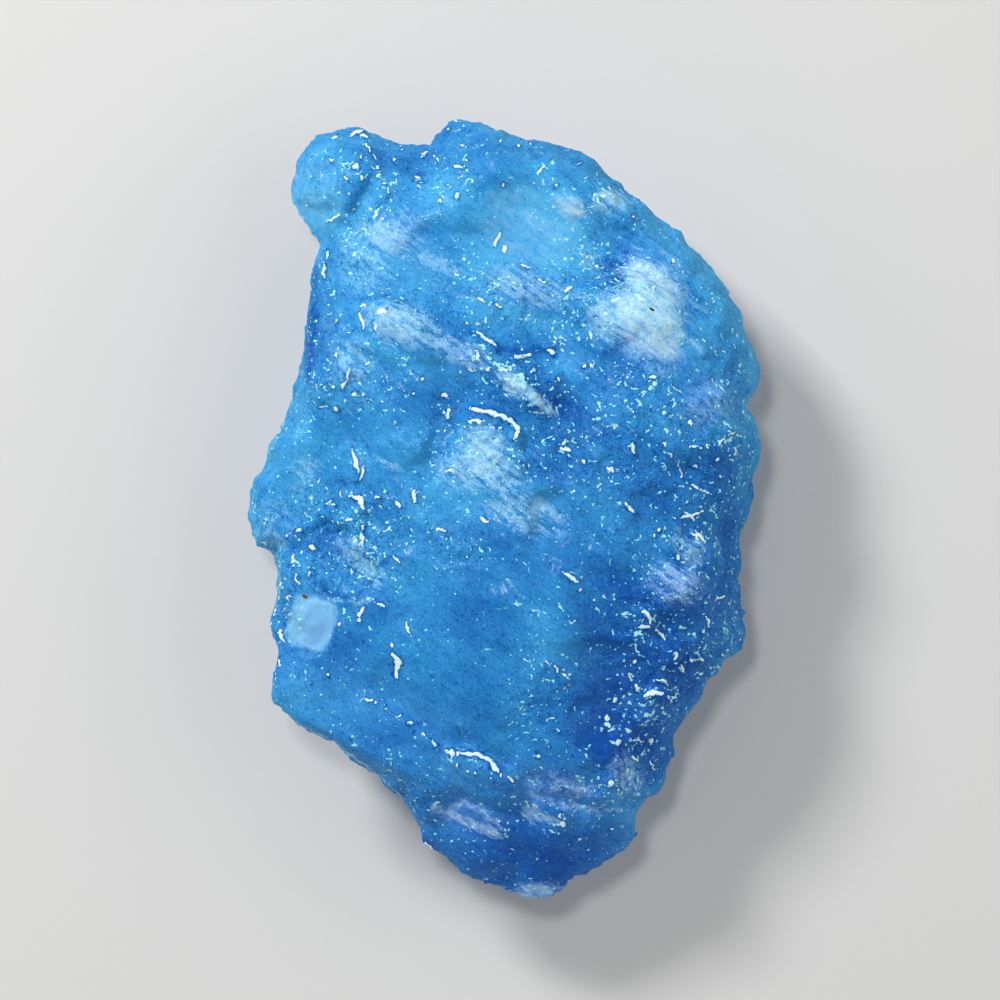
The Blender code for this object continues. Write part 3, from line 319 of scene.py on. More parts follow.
# Where the blue is deep.
DEEP = (
    (14.0, -18.0, 10.0, 6.5, 62.0, 0.6), (11.6, -10.4, 6.0, 4.0, 0.0, 0.7),
    (21.0, -4.0, 10.0, 4.6, 80.0, 0.55), (4.0, 16.4, 6.0, 1.2, -22.0, 0.5),
    (-5.0, 11.0, 5.0, 2.0, -10.0, 0.3), (5.6, 10.2, 6.0, 2.0, -34.0, 0.8),
    (11.6, 25.4, 4.6, 1.6, -36.0, 0.3), (8.0, -20.6, 5.0, 5.0, 60.0, 0.35),
    (11.0, -22.4, 4.0, 3.0, 0.0, 1.0), (16.0, -10.6, 4.0, 2.6, 0.0, 0.8),
    (-9.5, 38.0, 5.0, 1.6, 0.0, 0.4), (-6.6, 34.0, 8.0, 2.0, -10.0, 0.2),
    (3.0, -34.4, 9.0, 4.0, -5.0, 0.75), (-16.0, -13.6, 3.0, 3.0, 0.0, 0.35),
    (-14.6, -10.2, 2.6, 2.0, 0.0, 0.3), (-14.4, -22.0, 3.0, 2.0, -30.0, 0.25),
    (-14.4, 34.4, 3.0, 2.0, 0.0, 0.2), (-14.6, 31.6, 4.6, 1.6, 60.0, 0.25),
    (16.0, 3.6, 7.0, 4.0, -20.0, 0.4), (-17.2, -3.4, 3.6, 2.0, -20.0, 0.2),
    (-4.6, 9.6, 2.4, 1.0, 60.0, 0.3), (-6.0, -32.0, 4.0, 2.0, -40.0, 0.2),
    (10.6, 13.8, 4.0, 2.0, -36.0, 0.6), (10.8, 10.0, 3.0, 2.0, 0.0, 0.3),
    (5.8, 5.6, 3.4, 2.8, -36.0, 0.55), (8.0, -6.0, 6.0, 5.0, 0.0, 0.3),
    (-1.0, -10.4, 4.0, 4.6, 0.0, 0.3), (22.4, -10.0, 3.0, 5.0, 0.0, 0.55),
    (10.6, 23.4, 2.6, 1.3, -30.0, 0.75), (18.6, 20.4, 1.6, 1.2, -40.0, 0.3),
    (10.4, 15.8, 3.0, 1.0, -30.0, 0.3), (8.0, 34.0, 8.0, 3.0, -30.0, 0.1),
)
# Where the blue leans to violet.
VIOLET = (
    (2.0, -34.0, 11.0, 6.0, 0.0, 0.8), (14.0, -20.0, 8.0, 6.0, 60.0, 0.8),
    (-10.0, -24.0, 9.0, 5.0, -36.0, 0.4), (12.4, -26.6, 3.0, 2.6, 0.0, 0.7),
    (5.0, -28.0, 6.0, 3.0, -10.0, 0.9), (-3.6, -30.6, 4.0, 2.4, -30.0, 0.9),
    (17.1, -7.6, 3.4, 2.8, 0.0, 0.7), (14.8, 15.2, 3.4, 2.0, -10.0, 0.5),
    (14.4, 24.0, 3.4, 1.6, -30.0, 0.35), (-4.0, 15.0, 2.4, 1.4, -34.0, 0.4),
    (19.8, 10.9, 3.0, 2.4, 0.0, 0.6), (21.0, -12.0, 6.0, 4.0, 70.0, 0.4),
    (2.4, 22.0, 3.0, 1.8, -20.0, 0.3), (-11.0, 27.4, 2.4, 1.4, 0.0, 0.3),
    (-18.0, -16.0, 5.0, 4.0, 0.0, 0.3),
)
# Thin dark lines painted into the tone along creases, steps and cracks: partly painted shade where
# creases and steps fall into shadow, partly the dark of fine cracks: (half width, amount, points along
# the groove).
CREASE_SHADE_AND_CRACKS = (
    (0.16, 0.8, (-18.9, -4.6), (-18.7, -7.0), (-16.6, -8.5), (-14.4, -8.5), (-12.8, -6.6)),
    (0.5, 0.35, (-4.6, 9.8), (-5.6, 8.0), (-6.6, 5.0), (-7.8, 2.4)),
    (0.35, 0.6, (-3.4, 17.6), (-1.2, 16.2), (0.6, 15.6), (3.4, 15.8)),
    (0.3, 0.7, (-14.6, 20.8), (-11.8, 21.0), (-9.6, 20.4)),
    (0.3, 0.7, (10.2, 24.8), (11.8, 23.0), (13.4, 21.8)), (0.18, 0.5, (-21.0, -3.0), (-20.8, -7.6)),
    (0.5, 0.8, (-18.9, 24.0), (-19.0, 19.0), (-19.4, 13.0)), (0.3, 0.5, (18.0, -4.0), (19.6, -5.6)),
    (0.25, 0.5, (12.0, 25.4), (15.6, 22.8), (19.6, 20.6)), (0.3, 0.5, (2.4, 11.9), (5.6, 9.6)),
    (0.2, 0.5, (-2.0, 7.2), (2.6, 4.0)),
)
# Single grains of another mineral: (x, y, z, half length, half width, bearing).
DARK_SPECK = (14.5, 19.7, 21.4, 0.3, 0.12, -36.0)
BROWN_SPECK = (-19.7, -8.6, 18.4, 0.32, 0.2, -30.0)


# Where a thing sits across the show face, as numpy functions of x and y in millimetres.

PATCH_FADE = (0.7, 1.5)  # how fast a patch fades outwards, and the power of its fading
GLINT_TIP = 0.4  # how wide a glint is at its tips, as a share of its middle
GLINT_TAPER = 3.5  # how far from its tip a glint has its full width, in half widths
OCTAVE_FALL = 0.8  # how much smaller each finer octave of noise is
OCTAVE_STEP = 2.1  # how much finer each octave of noise is


def turned(x, y, centre_x, centre_y, bearing):
    """x and y measured from a centre, along a bearing and across it."""
    angle = math.radians(bearing)
    dx, dy = x - centre_x, y - centre_y
    return dx * math.cos(angle) + dy * math.sin(angle), dy * math.cos(angle) - dx * math.sin(angle)


def patches(x, y, table, corners=2):
    """How far each point lies in the patches of a table: 0 outside, up to each patch's amount inside.

    A patch is oval, or squarer where corners is more than 2."""
    inside = np.zeros(x.shape)
    rate, power = PATCH_FADE
    for centre_x, centre_y, half_length, half_width, bearing, amount in table:
        along, across = turned(x, y, centre_x, centre_y, bearing)
        spread = np.abs(along / half_length) ** corners + np.abs(across / half_width) ** corners
        inside = np.maximum(inside, amount * np.exp(-rate * spread ** power))
    return inside


def beside_path(x, y, path):
    """Distance across a path, positive on its left, and distance past its nearer end."""
    nearest = np.full(x.shape, np.inf)
    across, past = np.zeros(x.shape), np.zeros(x.shape)
    for start, end in zip(path, path[1:]):
        dx, dy = end[0] - start[0], end[1] - start[1]
        length = math.hypot(dx, dy)
        along = ((x - start[0]) * dx + (y - start[1]) * dy) / length
        side = ((y - start[1]) * dx - (x - start[0]) * dy) / length
        before, after = np.maximum(-along, 0.0), np.maximum(along - length, 0.0)
        distance = np.hypot(side, before + after)
        nearer = distance < nearest
        nearest = np.where(nearer, distance, nearest)
        across = np.where(nearer, np.copysign(distance, side), across)
        past = np.where(nearer, before * (start == path[0]) + after * (end == path[-1]), past)
    return across, past


def lip_height(x, y, path, height, front, back):
    """A ridge along a path: steep on the path's right, long on its left."""
    across, past = beside_path(x, y, path)
    width = np.where(across > 0, back, front)
    return height * np.exp(-((across / width) ** 2) - (past / front) ** 2)


def off_path(x, y, path):
    """Distance from a path, or from a single point."""
    nearest = np.hypot(x - path[0][0], y - path[0][1])
    for start, end in zip(path, path[1:]):
        dx, dy = end[0] - start[0], end[1] - start[1]
        share = ((x - start[0]) * dx + (y - start[1]) * dy) / (dx * dx + dy * dy)
        share = np.clip(share, 0.0, 1.0)
        nearest = np.minimum(nearest, np.hypot(x - start[0] - share * dx, y - start[1] - share * dy))
    return nearest


def along_paths(x, y, table):
    """How far each point lies in the threads or dark crease lines of a table: 0 outside, its amount
    inside.
    """
    inside = np.zeros(x.shape)
    for half_width, amount, *path in table:
        inside = np.maximum(inside, amount * np.exp(-((off_path(x, y, path) / half_width) ** 2)))
    return inside


def at_glints(x, y, width):
    """1 in the middle of a glint, 0 outside it; width scales them, all together or point by point.

    A glint that has a length tapers towards its ends."""
    inside = np.zeros(x.shape)
    for half_width, *path in GLINTS:
        reach = width * half_width
        if len(path) > 1:
            to_tip = np.minimum(off_path(x, y, path[:1]), off_path(x, y, path[-1:]))
            full = np.clip(to_tip / (GLINT_TAPER * half_width), 0.0, 1.0)
            reach = reach * (GLINT_TIP + (1.0 - GLINT_TIP) * full)
        inside = np.maximum(inside, np.exp(-((off_path(x, y, path) / reach) ** 2)))
    return inside


def noise_at(points, size, seed, octaves=3):
    """Fractal noise of about -1 to 1 at each point, with features of a size in millimetres."""
    shift = Vector((seed, -seed, 2.0 * seed))
    places = (Vector(point) / size + shift for point in points)
    return np.array([noise.fractal(place, OCTAVE_FALL, OCTAVE_STEP, octaves) for place in places])


# Help with objects.


def deselect_all():
    for thing in bpy.context.selected_objects:
        thing.select_set(False)


def make_active(piece):
    deselect_all()
    piece.select_set(True)
    bpy.context.view_layer.objects.active = piece


def apply_modifier(piece, kind, **values):
    modifier = piece.modifiers.new(kind.lower(), kind)
    for name, value in values.items():
        setattr(modifier, name, value)
    make_active(piece)
    bpy.ops.object.modifier_apply(modifier=modifier.name)


def edit(piece, step, **values):
    """Runs one bpy.ops.mesh step on what is selected in the piece."""
    make_active(piece)
    bpy.ops.object.mode_set(mode="EDIT")
    step(**values)
    bpy.ops.object.mode_set(mode="OBJECT")


def select_faces(piece, chosen):
    """Selects the faces that an array marks, and nothing else."""
    edit(piece, bpy.ops.mesh.select_mode, type="FACE")
    edit(piece, bpy.ops.mesh.select_all, action="DESELECT")
    piece.data.polygons.foreach_set("select", chosen)


def coordinates(mesh):
    """The points of a mesh in millimetres."""
    flat = np.empty(3 * len(mesh.vertices))
    mesh.vertices.foreach_get("co", flat)
    return flat.reshape(-1, 3) / MM


def normals(mesh):
    flat = np.empty(3 * len(mesh.vertices))
    mesh.vertex_normals.foreach_get("vector", flat)
    return flat.reshape(-1, 3)


def face_values(mesh, name):
    """The centre or the normal of every face."""
    flat = np.empty(3 * len(mesh.polygons))
    mesh.polygons.foreach_get(name, flat)
    return flat.reshape(-1, 3)


def move_points(mesh, points):
    mesh.vertices.foreach_set("co", (points * MM).ravel())
    mesh.update()


def paint(mesh, name, values):
    """Puts one number on each point, for the material to read."""
    layer = mesh.attributes.new(name, "FLOAT", "POINT")
    layer.data.foreach_set("value", np.clip(values, 0.0, 1.0).astype(np.float32))


# Settings that a user would change.


class CrystalSettings(bpy.types.PropertyGroup):
    mesh_step: bpy.props.FloatProperty(
        name="Mesh step",
        description="Spacing of the points on the flanks and the back; the show face has half",
        default=0.6 * MM, min=0.2 * MM, max=2.0 * MM, unit="LENGTH",
    )
    grain: bpy.props.FloatProperty(
        name="Grain height", description="Height of the bumps on rough ground, in millimetres",
        default=0.28, min=0.0, max=1.0,
    )
    steps: bpy.props.FloatProperty(
        name="Fine steps",
        description="Height of the fine growth steps along the long axis, in millimetres",
        default=0.07, min=0.0, max=0.5,
    )


class ColourSettings(bpy.types.PropertyGroup):
    deep: bpy.props.FloatVectorProperty(
        name="Deep blue", description="Colour of the clearest, thickest parts", subtype="COLOR",
        size=4, default=(0.002, 0.098, 0.42, 1.0), min=0.0, max=1.0,
    )
    middle: bpy.props.FloatVectorProperty(
        name="Blue", description="Main colour of the crystal", subtype="COLOR",
        size=4, default=(0.027, 0.270, 0.64, 1.0), min=0.0, max=1.0,
    )
    pale: bpy.props.FloatVectorProperty(
        name="Pale blue", description="Colour of the pale, evenly cloudy parts", subtype="COLOR",
        size=4, default=(0.082, 0.49, 0.86, 1.0), min=0.0, max=1.0,
    )
    milky: bpy.props.FloatVectorProperty(
        name="Milky white", description="Colour of the white inclusions", subtype="COLOR",
        size=4, default=(0.29, 0.63, 0.93, 1.0), min=0.0, max=1.0,
    )
    lavender: bpy.props.FloatVectorProperty(
        name="Lavender", description="Colour of the white inclusions where the blue leans to violet",
        subtype="COLOR", size=4, default=(0.30, 0.48, 0.90, 1.0), min=0.0, max=1.0,
    )
    core: bpy.props.FloatVectorProperty(
        name="White core", description="Colour of the densest part of the white inclusions",
        subtype="COLOR", size=4, default=(0.56, 0.84, 0.96, 1.0), min=0.0, max=1.0,
    )
    fringe: bpy.props.FloatVectorProperty(
        name="Fringe", description="Colour at the edge of a glint", subtype="COLOR",
        size=4, default=(0.20, 0.80, 0.92, 1.0), min=0.0, max=1.0,
    )
    glint: bpy.props.FloatVectorProperty(
        name="Glint", description="Colour in the middle of a glint", subtype="COLOR",
        size=4, default=(0.82, 1.0, 0.98, 1.0), min=0.0, max=1.0,
    )


class StageSettings(bpy.types.PropertyGroup):
    floor: bpy.props.FloatVectorProperty(
        name="Floor", description="Colour of the floor", subtype="COLOR",
        size=4, default=(0.62, 0.62, 0.61, 1.0), min=0.0, max=1.0,
    )
    key: bpy.props.FloatProperty(
        name="Key light", description="Power of the light at the upper left",
        default=3.1, min=0.0, unit="POWER",
    )
    fill: bpy.props.FloatProperty(
        name="Fill light", description="Power of the wide light at the right",
        default=0.84, min=0.0, unit="POWER",
    )
    lens: bpy.props.FloatProperty(
        name="Lens", description="Focal length of the camera, in millimetres",
        default=300.0, min=20.0, max=600.0,
    )


# The crystal's shape.

FINE_REACH = 0.22  # the mesh is finest this near a glint's edge
SHOW_SLOPE = 0.2  # faces whose normal rises more than this belong to the show side
SMOOTHING = (0.5, 3)  # how much each round of smoothing takes off, and the rounds

GRAIN_SIZE = 1.1  # across a bump of rough ground
SWELLING_SIZE = 2.4  # across a broader swelling
SWELLING_SHARE = 0.7  # height of the swellings, as a share of the grain's
STEP_SPACING = 1.15  # from one fine growth step to the next
STEP_WANDER = 1.6  # how far the steps stray, in spacings
STEP_SPOTS = (9.0, 1.0, 4.0)  # how the straying is drawn out: along the axis, across it, downwards
STEP_SHARPNESS = 0.6  # less than 1 makes the furrows between the steps narrow
HIDDEN_GRAIN = 0.55  # how rough the flanks and the back are
LEAST_GRAIN = 0.15  # grain that smooth ground keeps
LEAST_STEPS = 0.35  # steps that smooth ground keeps

GLINT_RISE = 0.1  # how far the ground under a glint stands out
GLINT_GROUND = 1.6  # how much wider than a glint that ground is
GLINT_WIDTH = 0.95  # width of the painted glints, as a share of the table's
WANDER = (0.22, 0.7)  # how far a glint or a thread strays, and over what length
WAIST = (0.4, 0.6)  # how much a glint's width swings, and over what length
GLINT_SLOPE = (0.2, 0.5)  # glints fade in while the normal's rise grows from one to the other

HIDDEN_CLOUDS = (11.0, 0.5)  # size and amount of the milky clouds on the flanks and the back
RIM_SLOPE = (1.4, 2.4)  # how a thin rim grows where the show side falls away; the colour paints it lighter, a painted edge light


def copy_of_node():
    """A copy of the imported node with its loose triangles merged."""
    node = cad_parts[NODE]
    piece = node.copy()
    piece.data = node.data.copy()
    piece.name = PIECE
    piece.data.name = PIECE
    piece.data.materials.clear()
    bpy.context.collection.objects.link(piece)
    edit(piece, bpy.ops.mesh.select_all, action="SELECT")
    edit(piece, bpy.ops.mesh.remove_doubles, threshold=0.002 * MM)
    return piece


def refine_show_side(piece):
    """Halves the mesh where the surface faces up, so that its fine breaks stay crisp."""
    select_faces(piece, face_values(piece.data, "normal")[:, 2] > SHOW_SLOPE)
    edit(piece, bpy.ops.mesh.subdivide, number_cuts=1)


def refine_glints(piece):
    """Halves the mesh once more round the glints."""
    centres = face_values(piece.data, "center") / MM
    x, y = centres[:, 0], centres[:, 1]
    near = np.zeros(len(centres), dtype=bool)
    for half_width, *path in GLINTS:
        near |= off_path(x, y, path) < half_width + FINE_REACH
    near &= face_values(piece.data, "normal")[:, 2] > SHOW_SLOPE
    select_faces(piece, near)
    edit(piece, bpy.ops.mesh.subdivide, number_cuts=1)


def fine_steps(points):
    """Fine growth steps that run along the long axis and wander a little, from 0 to 1."""
    along, across = turned(points[:, 0], points[:, 1], 0.0, 0.0, C_AXIS)
    spots = np.stack([along, across, points[:, 2]], axis=1) / STEP_SPOTS
    level = across / STEP_SPACING + STEP_WANDER * noise_at(spots, 4.0, 3.0)
    share = level - np.floor(level)
    return np.abs(2.0 * share - 1.0) ** STEP_SHARPNESS


def break_ground(piece, settings):
    """Moves the surface out or in along its normals: grain, broader swellings and fine steps."""
    mesh = piece.data
    points, facing = coordinates(mesh), normals(mesh)
    show = np.clip((facing[:, 2] + 0.1) / 0.5, 0.0, 1.0)
    grainy = rough_ground(points[:, 0], points[:, 1], show)
    grain = settings.grain * (LEAST_GRAIN + grainy)
    height = grain * noise_at(points, GRAIN_SIZE, 1.0)
    height += SWELLING_SHARE * grain * np.abs(noise_at(points, SWELLING_SIZE, 7.0))
    height += settings.steps * (LEAST_STEPS + grainy) * (fine_steps(points) - 0.5)
    push_out(mesh, points, facing, height)


def rough_ground(x, y, show):
    """How rough the ground is: by its table on the show side, the same all over on the others."""
    return np.maximum(patches(x, y, GRAINY) * show, HIDDEN_GRAIN * (1.0 - show))


def raise_details(piece):
    """Raises the lips, and the ground under the glints a little."""
    mesh = piece.data
    points, facing = coordinates(mesh), normals(mesh)
    x, y = points[:, 0], points[:, 1]
    height = GLINT_RISE * at_glints(x, y, GLINT_GROUND)
    for lip, front, back, *path in LIPS:
        height += lip_height(x, y, path, lip, front, back)
    push_out(mesh, points, facing, height * np.clip(facing[:, 2] / 0.5, 0.0, 1.0))


def push_out(mesh, points, facing, height):
    """Moves points along their normals, but leaves the flat face that the crystal rests on."""
    points += facing * (height * np.clip(points[:, 2], 0.0, 1.0))[:, None]
    points[:, 2] = np.maximum(points[:, 2], 0.0)
    move_points(mesh, points)


def paint_ground(piece):
    """Writes what the material needs: milk, tone with painted crease shade, violet, facets, rough
    ground, painted glints and rims, which are painted lighter.
    """
    mesh = piece.data
    points, facing = coordinates(mesh), normals(mesh)
    x, y = points[:, 0], points[:, 1]
    show = np.clip((facing[:, 2] + 0.2) / 0.4, 0.0, 1.0)
    reach, size = WANDER
    stray_x = x + reach * noise_at(points, size, 15.0, 2)
    stray_y = y + reach * noise_at(points, size, 18.0, 2)
    swing, size = WAIST
    width = GLINT_WIDTH + swing * noise_at(points, size, 21.0, 2)
    steep, flat = GLINT_SLOPE
    faces_up = np.clip((facing[:, 2] - steep) / (flat - steep), 0.0, 1.0)
    milk = np.maximum(patches(x, y, MILKY), along_paths(stray_x, stray_y, THREADS))
    size, amount = HIDDEN_CLOUDS
    clouds = amount * np.clip(noise_at(points, size, 12.0), 0.0, 1.0)
    # the tone: paler and deeper patches, less the painted shade along the creases
    shade = patches(x, y, PALE) - patches(x, y, DEEP) - along_paths(stray_x, stray_y, CREASE_SHADE_AND_CRACKS)
    rim, fall = RIM_SLOPE
    paint(mesh, "milk", np.maximum(milk * show, clouds * (1.0 - show)))
    paint(mesh, "tone", 0.5 + 0.5 * show * shade)
    paint(mesh, "violet", patches(x, y, VIOLET))
    paint(mesh, "even", patches(x, y, EVEN, 4) * show)
    paint(mesh, "grainy", rough_ground(x, y, show))
    # painted highlights: the listed glints, which the colour paints white
    paint(mesh, "glint", at_glints(stray_x, stray_y, width) * faces_up)
    # the rim, which the colour paints lighter as a painted edge light; it also makes the rim rougher
    # and less glossy
    paint(mesh, "rim", show * np.clip(rim - fall * facing[:, 2], 0.0, 1.0))


class CRYSTAL_OT_shape(bpy.types.Operator):
    """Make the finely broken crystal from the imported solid"""

    bl_idname = "crystal.shape"
    bl_label = "Shape the crystal"

    def execute(self, context):
        settings = context.scene.crystal
        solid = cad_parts[NODE]
        factor, rounds = SMOOTHING
        piece = copy_of_node()
        apply_modifier(piece, "REMESH", mode="VOXEL", voxel_size=settings.mesh_step)
        apply_modifier(piece, "SHRINKWRAP", target=solid, wrap_method="NEAREST_SURFACEPOINT")
        refine_show_side(piece)
        apply_modifier(piece, "SMOOTH", factor=factor, iterations=rounds)
        break_ground(piece, settings)
        refine_glints(piece)
        raise_details(piece)
        paint_ground(piece)
        make_active(piece)
        bpy.ops.object.shade_smooth()
        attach(piece, "root")
        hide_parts(NODE)
        return {"FINISHED"}


# The crystal's material.


class Nodes:
    """Adds and links shader nodes in one material."""

    def __init__(self, name):
        self.material = bpy.data.materials.new(name)
        self.material.use_nodes = True
        self.tree = self.material.node_tree
        self.shader = self.tree.nodes["Principled BSDF"]
        self.output = self.tree.nodes["Material Output"]

    def add(self, kind, values=(), **settings):
        node = self.tree.nodes.new("ShaderNode" + kind)
        for name, value in settings.items():
            setattr(node, name, value)
        for socket, value in dict(values).items():
            self.give(node.inputs[socket], value)
        return node

    def give(self, socket, value):
        """Sets a socket, or links it where the value is an output."""
        if isinstance(value, bpy.types.NodeSocket):
            self.tree.links.new(value, socket)
        else:
            socket.default_value = value

    def attribute(self, name):
        return self.add("Attribute", attribute_name=name).outputs["Fac"]

    def math(self, operation, first, second=0.0, third=0.0, clamp=False):
        node = self.add("Math", operation=operation, use_clamp=clamp)
        for socket, value in zip(node.inputs, (first, second, third)):
            self.give(socket, value)
        return node.outputs[0]

    def around(self, value, reach, middle=0.5):
        """A pattern of 0 to 1 turned into one that swings by reach about nothing."""
        return self.math("MULTIPLY", self.math("SUBTRACT", value, middle), reach)

    def total(self, first, *others):
        for other in others:
            first = self.math("ADD", first, other)
        return first

    def place(self):
        return self.add("TexCoord").outputs["Object"]

    def along_axis(self, length, shift=0.0):
        """Object coordinates turned to the long axis and drawn out along it."""
        values = {"Vector": self.place(), "Location": (shift, shift, 0.0)}
        values["Rotation"] = (0.0, 0.0, math.radians(C_AXIS))
        values["Scale"] = (length, 1.0, 1.0)
        return self.add("Mapping", values, vector_type="TEXTURE").outputs[0]

    def noise(self, place, size, detail=3.0, roughness=0.55):
        """Noise of about 0 to 1 with features of a size in millimetres."""
        values = {"Vector": place, "Scale": 1.0 / (size * MM), "Detail": detail}
        values["Roughness"] = roughness
        return self.add("TexNoise", values).outputs["Fac"]

    def between(self, value, low, high):
        """0 at low, 1 at high, smooth between them."""
        values = {"Value": value, "From Min": low, "From Max": high}
        return self.add("MapRange", values, interpolation_type="SMOOTHSTEP").outputs["Result"]

    def mix(self, share, first, second, blend="MIX"):
        node = self.add("Mix", data_type="RGBA", blend_type=blend)
        for socket, value in {0: share, 6: first, 7: second}.items():
            self.give(node.inputs[socket], value)
        return node.outputs[2]

    def glints(self, place, size, detail, reach):
        """Painted highlights: small curved marks, 0 to 1, where rolling ground tilts to a lamp; size
        in millimetres.
        """
        values = {"Vector": place, "Scale": 1.0 / (size * MM), "Detail": detail, "Roughness": 0.6}
        tilt = self.add("TexNoise", values).outputs["Color"]
        flat = {0: tilt, 1: (1.0, 1.0, 0.0), 2: (-LAMP_TILT[0], -LAMP_TILT[1], 0.0)}
        off = self.add("VectorMath", flat, operation="MULTIPLY_ADD")
        distance = self.add("VectorMath", {0: off.outputs[0]}, operation="LENGTH").outputs["Value"]
        return self.math("SUBTRACT", 1.0, self.math("DIVIDE", distance, reach), clamp=True)

    def speck(self, x, y, z, half_length, half_width, bearing):
        """1 in a single small grain, 0 outside it."""
        values = {"Vector": self.place(), "Location": (x * MM, y * MM, z * MM)}
        values["Rotation"] = (0.0, 0.0, math.radians(bearing))
        values["Scale"] = (half_length * MM, half_width * MM, SPECK_DEPTH * MM)
        inside = self.add("Mapping", values, vector_type="TEXTURE").outputs[0]
        away = self.add("VectorMath", {0: inside}, operation="LENGTH").outputs["Value"]
        return self.between(away, 1.1, 0.8)


LAMP_TILT = (0.6, 0.43)  # the tilt at which rolling ground mirrors a lamp
SPECK_DEPTH = 6.0  # how far below and above its place a grain may show
VIOLET_TINT = (1.3, 0.76, 0.96, 1.0)
BROWN = (0.13, 0.075, 0.03, 1.0)
BLACK = (0.004, 0.006, 0.02, 1.0)
BUMP_HEIGHT = 0.35 * MM
ABSORPTION = {"Color": (0.05, 0.45, 0.92, 1.0), "Density": 400.0}


def crystal_patterns(nodes):
    """The patterns that the crystal's colour, gloss and bumps share."""
    place = nodes.place()
    grainy = nodes.attribute("grainy")
    grain = nodes.noise(place, 0.8, 3.0, 0.6)
    frost = nodes.noise(place, 0.22, 1.0)
    clouds = nodes.noise(nodes.along_axis(1.8, 0.1), 5.0, 5.0, 0.62)
    dots = nodes.total(
        nodes.noise(place, 0.5, 2.0, 0.5),
        nodes.math("MULTIPLY", grainy, 0.08),
        nodes.around(clouds, 0.3),
    )
    # painted highlights: curved glints where a noise slope meets the lamp's tilt
    curl_glints = nodes.glints(place, 3.4, 2.0, nodes.math("MULTIPLY_ADD", grainy, 0.03, 0.008))
    placed = nodes.total(nodes.attribute("glint"), nodes.around(grain, 0.5), nodes.around(frost, 0.5))
    # pale cyan flecks that also stand in for small glints: the stone's own flecks and painted
    # highlights
    flecks_and_small_glints = nodes.math("MULTIPLY", nodes.between(dots, 0.65, 0.74), 0.47)
    roughly = nodes.math("MULTIPLY_ADD", grainy, 0.8, 0.2)
    dark = nodes.math("MULTIPLY", nodes.between(dots, 0.585, 0.645), roughly)
    scattered_glints = nodes.math("MAXIMUM", flecks_and_small_glints, curl_glints)
    fibres = nodes.noise(nodes.along_axis(5.0), 0.6, 4.0, 0.6)
    return {
        "grainy": grainy,
        "fibres": fibres,
        "clouds": clouds,
        "grain": grain,
        "frost": frost,
        "hairs": nodes.between(nodes.math("ABSOLUTE", nodes.around(fibres, 1.0)), 0.025, 0.0),
        # painted highlights: the scattered glints and the listed ones
        "glint": nodes.math("MAXIMUM", scattered_glints, nodes.between(placed, 0.25, 0.75)),
        # dark rings painted round the painted glints
        "hem": nodes.math("MAXIMUM", dark, nodes.between(placed, 0.03, 0.15)),
    }


def crystal_colour(nodes, patterns, colours):
    """Blue from deep to pale with the place's tone, with painted shade in creases and painted edge
    light on rims, then clouds, even facets, grains and painted glints.
    """
    tone = nodes.total(
        nodes.attribute("tone"),
        nodes.around(patterns["clouds"], 1.1),
        nodes.around(patterns["fibres"], 0.35),
        nodes.around(patterns["grain"], 0.5),
        nodes.around(patterns["frost"], 1.0),
        # painted edge light: lighter where the show side falls away
        nodes.math("MULTIPLY", nodes.attribute("rim"), 0.15),
        # dark rings painted round the painted glints
        nodes.math("MULTIPLY", patterns["hem"], -0.6),
        nodes.math("MULTIPLY", patterns["hairs"], 0.12),
    )
    ramp = nodes.add("ValToRGB", {"Fac": tone})
    ramp.color_ramp.elements[0].color = colours.deep
    ramp.color_ramp.elements[1].color = colours.pale
    ramp.color_ramp.elements[1].position = 0.95
    ramp.color_ramp.elements.new(0.48).color = colours.middle
    violet = nodes.attribute("violet")
    colour = nodes.mix(violet, ramp.outputs["Color"], VIOLET_TINT, "MULTIPLY")
    even = nodes.total(
        nodes.attribute("even"),
        nodes.around(patterns["grain"], 0.6),
        nodes.around(patterns["fibres"], 0.5),
    )
    even = nodes.math("MULTIPLY", nodes.between(even, 0.3, 0.8), 0.68)
    colour = nodes.mix(even, colour, colours.milky)
    milk = nodes.attribute("milk")
    curdle = nodes.total(
        nodes.around(patterns["clouds"], 0.7),
        nodes.around(patterns["fibres"], 1.5),
        nodes.around(patterns["grain"], 0.8),
        nodes.around(patterns["frost"], 0.7),
        nodes.math("MULTIPLY", patterns["hairs"], 0.45),
    )
    near = nodes.math("MULTIPLY_ADD", nodes.between(milk, 0.02, 0.3), 0.8, 0.2)
    cloudy = nodes.math("ADD", milk, nodes.math("MULTIPLY", curdle, near))
    white = nodes.mix(violet, colours.milky, colours.lavender)
    veiled = nodes.math("MULTIPLY", nodes.between(cloudy, 0.25, 0.9), 0.8)
    dense = nodes.math("MULTIPLY", nodes.between(cloudy, 0.8, 1.35), 0.9)
    colour = nodes.mix(veiled, colour, white)
    colour = nodes.mix(dense, colour, colours.core)
    colour = nodes.mix(nodes.speck(*DARK_SPECK), colour, BLACK)
    colour = nodes.mix(nodes.speck(*BROWN_SPECK), colour, BROWN)
    # painted highlights: a cyan fringe, then a white middle, where the glints are
    fringed = nodes.math("MULTIPLY", nodes.between(patterns["glint"], 0.0, 0.38), 0.9)
    colour = nodes.mix(fringed, colour, colours.fringe)
    return nodes.mix(nodes.between(patterns["glint"], 0.3, 0.7), colour, colours.glint)


def crystal_gloss(nodes, patterns):
    """Wet on the show face, most where the glints are."""
    wet = nodes.between(patterns["glint"], 0.1, 0.6)
    damp = nodes.math("MULTIPLY_ADD", nodes.attribute("rim"), -0.06, 0.06)
    return nodes.math("MULTIPLY_ADD", wet, 0.8, damp)


def crystal_bump(nodes, patterns):
    """Rolling grain, high on rough ground."""
    strength = nodes.math("MULTIPLY_ADD", patterns["grainy"], 0.8, 0.2)
    values = {"Height": patterns["grain"], "Strength": strength, "Distance": BUMP_HEIGHT}
    return nodes.add("Bump", values).outputs["Normal"]


